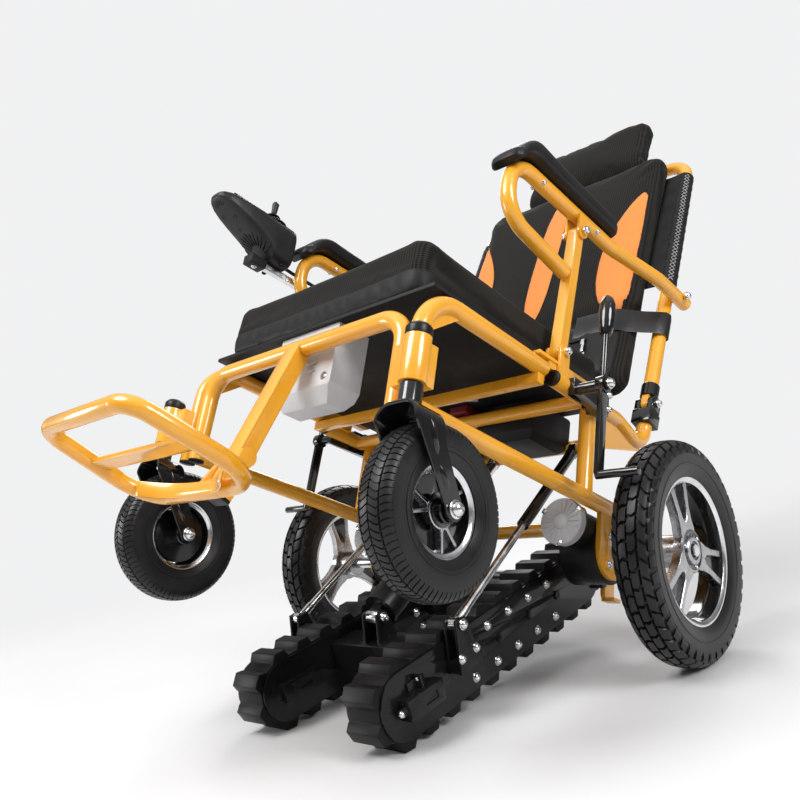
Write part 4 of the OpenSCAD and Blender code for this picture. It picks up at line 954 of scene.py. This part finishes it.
zipper = Shape()
teeth = [[x, padDepth(x, 112) - 11.2, 112 + 5*math.sin(x/160)] for x in np.linspace(-150, 150, 41)]
zipper.tube(onBack(teeth).tolist(), 2.2, 8, 0)
pullAt = [146, padDepth(146, 104) - 13.5, 108]
for x, d, up, w, t, h in ((0, 0, 0, 7, 4, 12), (3, -2.2, -14, 5.5, 2, 20), (7, -2.6, -34, 8, 2.2, 12)):
    zipper.brick((pullAt[0] + x - w/2, pullAt[1] + d - t/2, pullAt[2] + up - h/2),
                 (pullAt[0] + x + w/2, pullAt[1] + d + t/2, pullAt[2] + up + h/2), 0.8, 1, onBack)
zipper.build("pouchZip", "back", ["gripRubber", "brightSteel"], "cushion_cloth", (), 40)
print("back covers made")

# arm pads: one moulded skin over the arm tube, drooping at the front
armPad = {"x": 238.0, "low": 686.3}
armPad["stations"] = [(-346.2, 20, 7), (-345, 32, 12), (-342, 46, 18), (-334, 57, 24.5), (-325, 61, 27.5),
                      (-314, 62, 29.4), (-300, 60, 31), (-280, 56, 32), (-240, 52, 32), (-180, 50, 31.6),
                      (-120, 50, 31.5), (-84, 50, 31), (-66, 48.5, 28.5), (-57, 44, 23.5), (-52, 35, 16.5),
                      (-50, 24, 10)]


def padDroop(y):
    q = min(max(-277 - y, 0), 53)
    return 60.4 - math.sqrt(60.4*60.4 - q*q)


ys = np.concatenate([np.linspace(-346.2, -325, 14), np.linspace(-322, -270, 18), np.linspace(-260, -90, 12),
                     np.linspace(-84, -50, 16)])
ws, ts = [np.interp(ys, [q[0] for q in armPad["stations"]], [q[i] for q in armPad["stations"]])
          for i in (1, 2)]
rows = []
for y, w, t in zip(ys, ws, ts):
    ring = []
    for k in range(36):
        a = 2*math.pi*k/36
        c, s = math.cos(a), math.sin(a)
        x = math.copysign(abs(c)**(0.62 if s > 0 else 0.4), c)*w/2
        z = 0.40*t + (0.60*t*abs(s)**0.62 if s > 0 else -0.40*t*abs(s)**0.5)
        ring.append([armPad["x"] + x, y, armPad["low"] - padDroop(y) + z])
    rows.append(ring)
pad = Shape().loft(rows)
for obj in sideBoth(pad, "armPad", "arm_left", "arm_right", ["padSkin"], "pad_skin", "arm_pad", 50):
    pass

# control box: smooth wedge, fan of ribs below, keypad above
joy = (-266.0, -395.0, 703.0)
boxLine = [(-519.6, 9, 696.5, 690), (-518, 15, 698.5, 687.5), (-513, 21.5, 700.5, 684),
           (-502, 28, 702.5, 678), (-485, 33, 703, 670.5), (-462, 36, 703, 661), (-440, 37.5, 703, 652),
           (-420, 38, 703, 642.5), (-406, 38, 703, 631), (-396, 38, 703, 622.5), (-384, 37.8, 703, 618.8),
           (-366, 37, 702.8, 618.4), (-356, 35, 701, 619.4), (-352, 31, 697, 623), (-350.4, 25, 690, 631)]
lineY = np.concatenate([np.linspace(-519.6, -500, 14), np.linspace(-496, -420, 16),
                        np.linspace(-416, -364, 16), np.linspace(-361, -350.4, 10)])


def boxSkin(y):   # half width, top and underside of the box at a station
    return [np.interp(y, [b[0] for b in boxLine], [b[i] for b in boxLine]) for i in (1, 2, 3)]


rows = []
for y, h, top, low in zip(lineY, *boxSkin(lineY)):
    ring = []
    for k in range(48):
        a = 2*math.pi*k/48
        c, s = math.cos(a), math.sin(a)
        ring.append([joy[0] + h*math.copysign(abs(c)**0.55, c), y,
                     (top + low)/2 + (top - low)/2*math.copysign(abs(s)**0.5, s)])
    rows.append(ring)
case = Shape().loft(rows)


def underside(x, y):   # height of the lower skin of the box
    half, top, low = boxSkin(y)
    c = min(abs(x)/half, 0.999)**(1/0.55)
    return (top + low)/2 - (top - low)/2*math.sqrt(max(1 - c*c, 0))**0.5


for k, a in enumerate(np.linspace(-84, 84, 13)):   # fan of vent slots round the clamp end
    d = (math.sin(math.radians(a)), -math.cos(math.radians(a)))
    path = []
    for t in np.linspace(17, 40 if k % 2 else 43, 9):
        x, y = d[0]*t*0.86, -404 + d[1]*t
        path.append([joy[0] + x, y, underside(x, y) + 0.5])
    case.tube(path, [0.8] + [1.75]*7 + [0.8], 8, 2)
for k, a in enumerate(np.linspace(-50, 50, 6)):   # small ones at the nose
    path = []
    for t in np.linspace(8, 16, 5):
        x, y = math.sin(math.radians(a))*t*1.1, -498 - math.cos(math.radians(a))*t
        path.append([joy[0] + x, y, underside(x, y) + 0.5])
    case.tube(path, 1.1, 8, 2)
for side in (-1, 1):   # joint between the two shells
    path = []
    for y in np.linspace(-515, -354, 60):
        half, top, low = boxSkin(y)
        s = 1 - 2*8.0/(top - low) if top - low > 20 else 0.3
        path.append([joy[0] + side*half*math.sqrt(max(1 - abs(s)**4, 0))**0.55, y,
                     (top + low)/2 + (top - low)/2*s])
    case.tube(path, 0.7, 6, 2)
for x, y, r in ((-13, -486, 4.0), (12, -478, 3.6), (0, -455, 3.0)):   # deep screw wells
    case.lathe((joy[0] + x, y, underside(x, y) + 1.0), (0, -0.35, -0.94),
               [(0, r + 0.8), (1.2, r + 0.6), (1.4, r), (0.2, r - 0.4), (0.2, 0)], 20, 2)
case.brick((joy[0] - 9, -430, 601.5), (joy[0] + 17, -396, 619.5), 2.0, 2, None, 3)   # clamp on the bar
case.bolt((joy[0] + 4, -414, 601.7), (0, 0, -1), 4.4, 3.2, 4)
for x, y in ((-26, -372), (26, -372)):
    case.lathe((joy[0] + x, y, boxSkin(y)[2] + 2.4), (0, 0, -1),
               [(0, 4.4), (2.6, 4.2), (2.8, 3.4), (1.0, 3.0), (0.8, 0)], 16, 2)
case.brick((joy[0] - 25, -497, 701), (joy[0] + 25, -428, 704), 1.2, 2)
for i, (x, y) in enumerate(((-14, -484), (14, -484), (-14, -462), (14, -462), (0, -440))):
    case.brick((joy[0] + x - 7, y - 5, 703), (joy[0] + x + 7, y + 5, 705.4), 1.6, 1, None, 3)
for k in range(5):
    case.brick((joy[0] - 16 + 7*k, -474.6, 703.2), (joy[0] - 12 + 7*k, -471.4, 704.6), 0.5, 3)
case.lathe(joy, (0, 0, 1), [(-2, 30), (0.8, 29.6), (2.2, 28), (2.6, 25), (1.2, 23.2), (-2, 22.6)], 48, 2)
case.build("controlBox", "arm_right",
           ["controlPlastic", "blackPlastic", "gripRubber", "lampLens", "brightSteel"], "control_plastic",
           ["controller_case"], 38)
boot = Shape()
prof = []
for k in range(34):
    a = math.radians(98 - 69.5*k/33)
    r = 21.4 + 0.55*math.sin(k*1.15)
    prof.append((r*math.cos(a) - 6, r*math.sin(a)))
prof += [(12.4, 9.6), (11.4, 9.4)]   # open round the stick, under its skirt
boot.lathe(joy, (0, 0, 1), prof, 40)
boot.build("stickBoot", "joystick_base", ["gripRubber"], "control_plastic", ["joystick_boot"], 60)

skirt = Shape().lathe(joy, (0, 0, 1),
                      [(17.2, 4.4), (16.6, 9), (16.4, 13.4), (17.4, 13.8), (18.6, 13), (20.4, 8.5),
                       (24, 5.6), (29, 4.6)], 40)
skirt.build("stickSkirt", "joystick_stick", ["gripRubber"], "control_plastic", (), 45)

# its lead: along the arm, back into the arm tube
leadKnots = [(-290, -349.5, 652), (-290, -312, 650), (-278, -240, 642), (-266, -150, 660), (-266, -70, 674),
             (-250.4, -70, 674)]


def filleted(knots, radius, step=2.5):
    pts = [Vector(k) for k in knots]
    out = [pts[0]]
    for a, p, b in zip(pts, pts[1:], pts[2:]):
        u, v = (a - p).normalized(), (b - p).normalized()
        half = u.angle(v)/2
        mid = p + (u + v).normalized()*radius/math.sin(half)
        s, e = p + u*radius/math.tan(half), p + v*radius/math.tan(half)
        n = max(3, int((math.pi - 2*half)*radius/step) + 1)
        for i in range(n + 1):
            q = s.lerp(e, i/n) - mid
            out.append(mid + q.normalized()*radius)
    out.append(pts[-1])
    fine = [out[0]]
    for p in out[1:]:
        n = max(1, int((p - fine[-1]).length/4))
        start = fine[-1]
        fine += [start.lerp(p, (i + 1)/n) for i in range(n)]
    return fine


leadPath = filleted(leadKnots, 15.0)
leadLength = sum((b - a).length for a, b in zip(leadPath, leadPath[1:]))/1000
lead = Shape().tube([p[:] for p in leadPath], 3.5, 14)
leadObj = lead.build("controlLead", "arm_right", ["gripRubber"], "lead_rubber", ["controller_lead"], 60)
relief = Shape().lathe(leadKnots[0], (0, 1, -0.05),
                       [(0, 3.6), (0, 6.3), (2.5, 6.4), (3, 5.6), (5, 5.6), (5.5, 6.0), (8, 5.8),
                        (8.5, 5.2), (10.5, 5.2), (11, 5.5), (13, 5.2), (13.5, 4.7), (15.5, 4.7), (18, 4.2),
                        (18, 3.55)], 24)
reliefObj = relief.build("leadRelief", "arm_right", ["gripRubber"], "lead_rubber", (), 40)
print("control box and lead made, lead", round(leadLength, 3), "m")

# CAD pieces shown with their edges eased
nodeBody = {n: b for b, names in frame["record"]["behaviour"]["bodies"].items() for n in names}


def eased(node, edge, steps=2):
    src = cadNodes[node]
    bm = bmesh.new()
    bm.from_mesh(src.data)
    bm.transform(src.matrix_world)
    bmesh.ops.remove_doubles(bm, verts=bm.verts, dist=0.000002)
    bmesh.ops.dissolve_limit(bm, angle_limit=math.radians(0.5), verts=bm.verts, edges=bm.edges)
    sharp = [e for e in bm.edges if len(e.link_faces) == 2 and e.calc_face_angle(0) > math.radians(30)]
    bmesh.ops.bevel(bm, geom=sharp, offset=edge/1000, segments=steps, affect="EDGES", profile=0.6,
                    clamp_overlap=True)
    mesh = bpy.data.meshes.new(node + "Eased")
    bm.to_mesh(mesh)
    bm.free()
    mesh.materials.append(src.data.materials[0])
    mesh.shade_smooth()
    mesh.set_sharp_from_angle(angle=math.radians(40))
    obj = bpy.data.objects.new(node + "Eased", mesh)
    scene.collection.objects.link(obj)
    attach(obj, nodeBody[node])
    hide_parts(node)
    return obj


edges = {"battery_case": 3.0, "controller_bar": 0.8, "brake_clamps": 1.6, "back_hinges": 1.6,
         "footrest_stem": 3.0, "track_bridge": 2.0, "tensioners": 1.6, "track_frame_left": 0.8,
         "track_frame_right": 0.8, "track_belt_left": 1.4, "track_belt_right": 1.4, "brake_lever_left": 1.0,
         "brake_lever_right": 1.0, "arm_post_left": 1.8, "arm_post_right": 1.8, "motor_left": 1.6,
         "motor_right": 1.6, "track_motor": 3.0, "seat_board": 2.5, "tube_caps": 1.4,
         "actuator_barrel": 1.6, "joystick_knob": 0.9, "headrest_bars": 0.9, "lower_frame_left": 0.9,
         "lower_frame_right": 0.9, "cross_tubes": 0.9, "footrest_loop": 0.8, "upper_rail_left": 0.9,
         "upper_rail_right": 0.9}
for n, e in edges.items():
    eased(n, e)
print("edges eased:", len(edges))


# crawler hardware
trackLine = {"tilt": math.radians(32.4), "y": 75, "z": 143}


def onTrack(p):   # (x, along the track, up) to chair space
    q = np.asarray(p, float).reshape(-1, 3)
    s, c = math.sin(trackLine["tilt"]), math.cos(trackLine["tilt"])
    return np.stack([q[:, 0], trackLine["y"] + q[:, 1]*c - q[:, 2]*s,
                     trackLine["z"] + q[:, 1]*s + q[:, 2]*c], axis=-1)


trackHardware = Shape()
for y in (-90, -170, -250, -300):
    trackHardware.bolt((81.1, y, 0), (-1, 0, 0), 6.2, 5.6, 0, onTrack)
for y, z in ((-269, 25), (-216, 25), (-163, 25), (-110, 25), (-318, -27), (-266, -27), (-213, -27),
             (-160, -27), (-107, -27)):
    trackHardware.bolt((145.9, y, z), (1, 0, 0), 5.6, 5.4, 0, onTrack)
    trackHardware.bolt((84.1, y, z), (-1, 0, 0), 5.2, 5.0, 0, onTrack)
for y, z in ((-363, 20), (-331, 22)):
    trackHardware.bolt((171, y, z), (1, 0, 0), 5.4, 5.0, 0, onTrack)
trackHardware.bolt((173, -347, 60), (1, 0, 0), 6.4, 6.0, 0, onTrack)
trackHardware.bolt((155.9, -474, 0), (0, -1, 0), 4.2, 4.0, 0, onTrack)
trackHardware.bolt((153, -431.2, 24), (0, -1, 0), 3.0, 3.0, 0, onTrack)
bothSides = trackHardware.doubled()
for x in (-18, 18):
    bothSides.bolt((x, -335, 61), (math.copysign(1, x), 0, 0), 6.6, 6.0, 0, onTrack)
bothSides.build("crawlerBolts", "crawler", ["brightSteel"], "bright_steel", (), 30)

eye = Shape().lathe(onTrack([[-11.4, -335, 61]])[0], (1, 0, 0),
                    [(0, 5), (0, 10.2), (1, 10.6), (21.8, 10.6), (22.8, 10.2), (22.8, 5)], 32)
eye.build("liftEye", "lift_barrel", ["brightSteel"], "bright_steel", (), 35)

# caster forks: one bent band with rounded shoulders, pressed ribs, dome nuts
fork = {"x": 267.0, "leg": 31.0, "top": 202.6, "round": 20.0, "thick": 4.0,
        "heights": [86.2, 88, 92, 96, 100, 106, 148.9, 164.9, 182.9, 204.9],
        "fore": [-437, -442.2, -446.5, -448.4, -450, -455.4, -487, -499.2, -513, -513],
        "aft": [-433, -427.8, -423.5, -421.6, -421, -422, -449, -459, -463.5, -469]}
spine = [(fork["leg"], z, 1.0, 0.0)
         for z in (86.2, 87, 88, 90, 92, 96, 100, 106, 116, 128, 140, 148.9, 157, 164.9, 174, 182.6)]
for a in np.linspace(9, 90, 10):
    c, t = math.cos(math.radians(a)), math.sin(math.radians(a))
    spine.append((fork["leg"] - fork["round"]*(1 - c), fork["top"] - fork["round"]*(1 - t), c, t))
spine += [(-x, z, -nx, nz) for x, z, nx, nz in spine[::-1]]
rows = []
for x, z, nx, nz in spine:
    y0, y1 = np.interp(z, fork["heights"], fork["fore"]), np.interp(z, fork["heights"], fork["aft"])
    h, e = fork["thick"]/2, 0.9
    rows.append([[fork["x"] + x + nx*n, y, z + nz*n] for n,
                 y in ((h, y0 + e), (h - e, y0), (e - h, y0), (-h, y0 + e), (-h, y1 - e), (e - h, y1),
                       (h - e, y1), (h, y1 - e))])
forkBand = Shape().loft(rows)
forkBand.lathe((fork["x"], -493, 203), (0, 0, 1),
               [(0, 17), (2, 16.6), (3.4, 14.6), (5, 14), (26, 14), (28, 13.2), (28, 10)], 40)
forkBand.lathe((fork["x"] - 33, -435, 100), (1, 0, 0), [(0, 5.9), (66, 5.9)], 24, 1)
for s in (1, -1):
    face = fork["x"] + s*33
    for path in ([(-489, 187), (-486, 181), (-480, 168), (-474.5, 156), (-471, 149)],
                 [(-466.5, 142), (-463, 137), (-457, 129), (-450.5, 120.5), (-447, 116)]):
        forkBand.tube([(face - s*1.4, y, z) for y, z in path], [0.6, 3.8, 4.2, 3.8, 0.6], 14)
    forkBand.bolt((face + s*0.4, -435, 100), (s, 0, 0), 9.0, 9.6, 1)
sideBoth(forkBand, "casterFork", "fork_left", "fork_right", ["blackPaint", "brightSteel"], "bracket_black",
         "caster_fork", 38)

# bolts and pins on the frame, brakes, arms and back
chassisPins = Shape()
for x, y, z, r in ((273, -84, 353, 4.8), (273, -84, 376, 4.8), (316.6, -158, 358, 7.0),
                   (256, -174, 415, 6.0)):
    chassisPins.bolt((x, y, z), (1, 0, 0), r, r*0.95)
chassisPins.bolt((220, -174, 415), (-1, 0, 0), 6.0, 5.6)
chassisPins.bolt(onBack([[267, 0, 0]])[0], (1, 0, 0), 6.4, 6.0)
for y, z in ((21, 136), (21, 178), (-21, 178), (-21, 136)):
    chassisPins.bolt((247, y, z), (1, 0, 0), 5.0, 4.0)
chassisPins.bolt((199, 75, 143), (1, 0, 0), 9.0, 7.0)
pins = chassisPins.doubled()
for x in (-56, 42):
    for z in (308, 366.5):
        pins.bolt((x, -442, z), (0, -1, 0), 4.6, 3.0)
pins.build("framePins", "chassis", ["brightSteel"], "bright_steel", (), 30)
armPins = Shape()
armPins.bolt((256, -146, 642), (1, 0, 0), 6.0, 6.0)
armPins.bolt((220, -146, 642), (-1, 0, 0), 6.0, 6.0)
for y in (-255, -100):
    armPins.bolt((227.4, y, 668), (-0.9, 0, -0.45), 3.6, 3.4)
    armPins.bolt((248.6, y, 668), (0.9, 0, -0.45), 3.6, 3.4)
sideBoth(armPins, "armPins", "arm_left", "arm_right", ["brightSteel"], "bright_steel", None, 30)
backPins = Shape()
backPins.bolt(onBack([[290.1, 0, 234]])[0], (1, 0, 0), 6.6, 6.4)
backPins.lathe(onBack([[248, 0, 15]])[0], onBack([[0, 0, 1]])[0] - onBack([[0, 0, 0]])[0],
               [(0, 12.6), (0, 14.4), (1, 15), (24, 15), (25, 14.4), (25, 12.6)], 40, 1)
backPins.doubled().build("backPins", "back", ["brightSteel", "blackPaint"], "bright_steel", (), 30)

# grey ribbed end of the wheel motors, with clips
motorAt = (205, -88.2, 185)


def onMotor(turn):   # (out from the middle, sideways, proud of the end) to chair space
    c, s = math.cos(turn), math.sin(turn)
    return lambda q: np.stack([motorAt[0] + q[:, 0]*c - q[:, 1]*s, motorAt[1] - q[:, 2],
                               motorAt[2] + q[:, 0]*s + q[:, 1]*c], -1)


motorEnd = Shape()
motorEnd.lathe(motorAt, (0, -1, 0),
               [(-9.6, 35.4), (0.6, 35.6), (2.2, 34.6), (3.0, 32), (3.0, 12), (4.4, 10.6), (5.2, 9),
                (5.2, 0)], 64, 0)
for k in range(20):
    motorEnd.brick((13, -1.1, 2.2), (31.5, 1.1, 4.4), 0.5, 0, onMotor(2*math.pi*k/20))
for a in (30, 150, 270):
    put = onMotor(math.radians(a))
    motorEnd.brick((29, -4, 2.6), (36.6, 4, 4.2), 0.5, 1, put)
    motorEnd.brick((35.4, -4, -14), (36.8, 4, 4), 0.5, 1, put)
    motorEnd.bolt((32, 0, 4.2), (0, 0, 1), 2.4, 2.2, 1, put)
sideBoth(motorEnd, "motorEnd", "chassis", "chassis", ["motorGrey", "brightSteel"], "motor_black", None, 35)
print("hardware made")

# under the seat: strap with its buckle, and the red battery plug between the bags
under = Shape().brick((-198, -170, 386.4), (198, -146, 388.3), 0.4, 0)
turnIt = (math.cos(0.52), math.sin(0.52))
tilt = lambda q: np.stack([52 + q[:, 0]*turnIt[0] - q[:, 1]*turnIt[1],
                           -157 + q[:, 0]*turnIt[1] + q[:, 1]*turnIt[0], q[:, 2]], -1)
under.brick((-21, -7, 380.5), (21, 7, 386.2), 1.6, 1, tilt, 3)
under.brick((-14, -4, 379.4), (-3, 4, 381), 0.8, 1, tilt)
under.brick((4, -4, 379.4), (15, 4, 381), 0.8, 1, tilt)
under.brick((-6, -128, 374.5), (31, -78, 388.2), 2.5, 2, None, 3)
under.build("seatStrap", "chassis", ["webbing", "motorGrey", "bagRed"], "cushion_cloth", (), 35)

# floor that runs out into the backdrop
floorSpan = 14.0
bpy.ops.mesh.primitive_plane_add(size=floorSpan, location=(0, 0, -0.0006))
floor = bpy.context.object
floor.name = "floor"
floorFinish = Finish("paleFloor")
floorFinish.colour(floorFinish.noise(2.5, 2), [(0.3, (0.63, 0.63, 0.635)), (0.7, (0.66, 0.66, 0.665))])
floorFinish.fix(rough=0.7, spec=0.2)
far = floorFinish.node("VectorMath", operation="LENGTH")
floorFinish.link(floorFinish.coords.outputs["Object"], far.inputs[0])
glow = floorFinish.node("Emission")
glow.inputs[0].default_value = wSeen.inputs[0].default_value
blend = floorFinish.node("MixShader")
floorFinish.link(floorFinish.span(far.outputs["Value"], 0.0, 1.0, 0.7, 2.3), blend.inputs[0])
floorFinish.link(floorFinish.shader.outputs[0], blend.inputs[1])
floorFinish.link(glow.outputs[0], blend.inputs[2])
floorFinish.link(blend.outputs[0], floorFinish.tree.nodes["Material Output"].inputs[0])
floor.data.materials.append(floorFinish.mat)
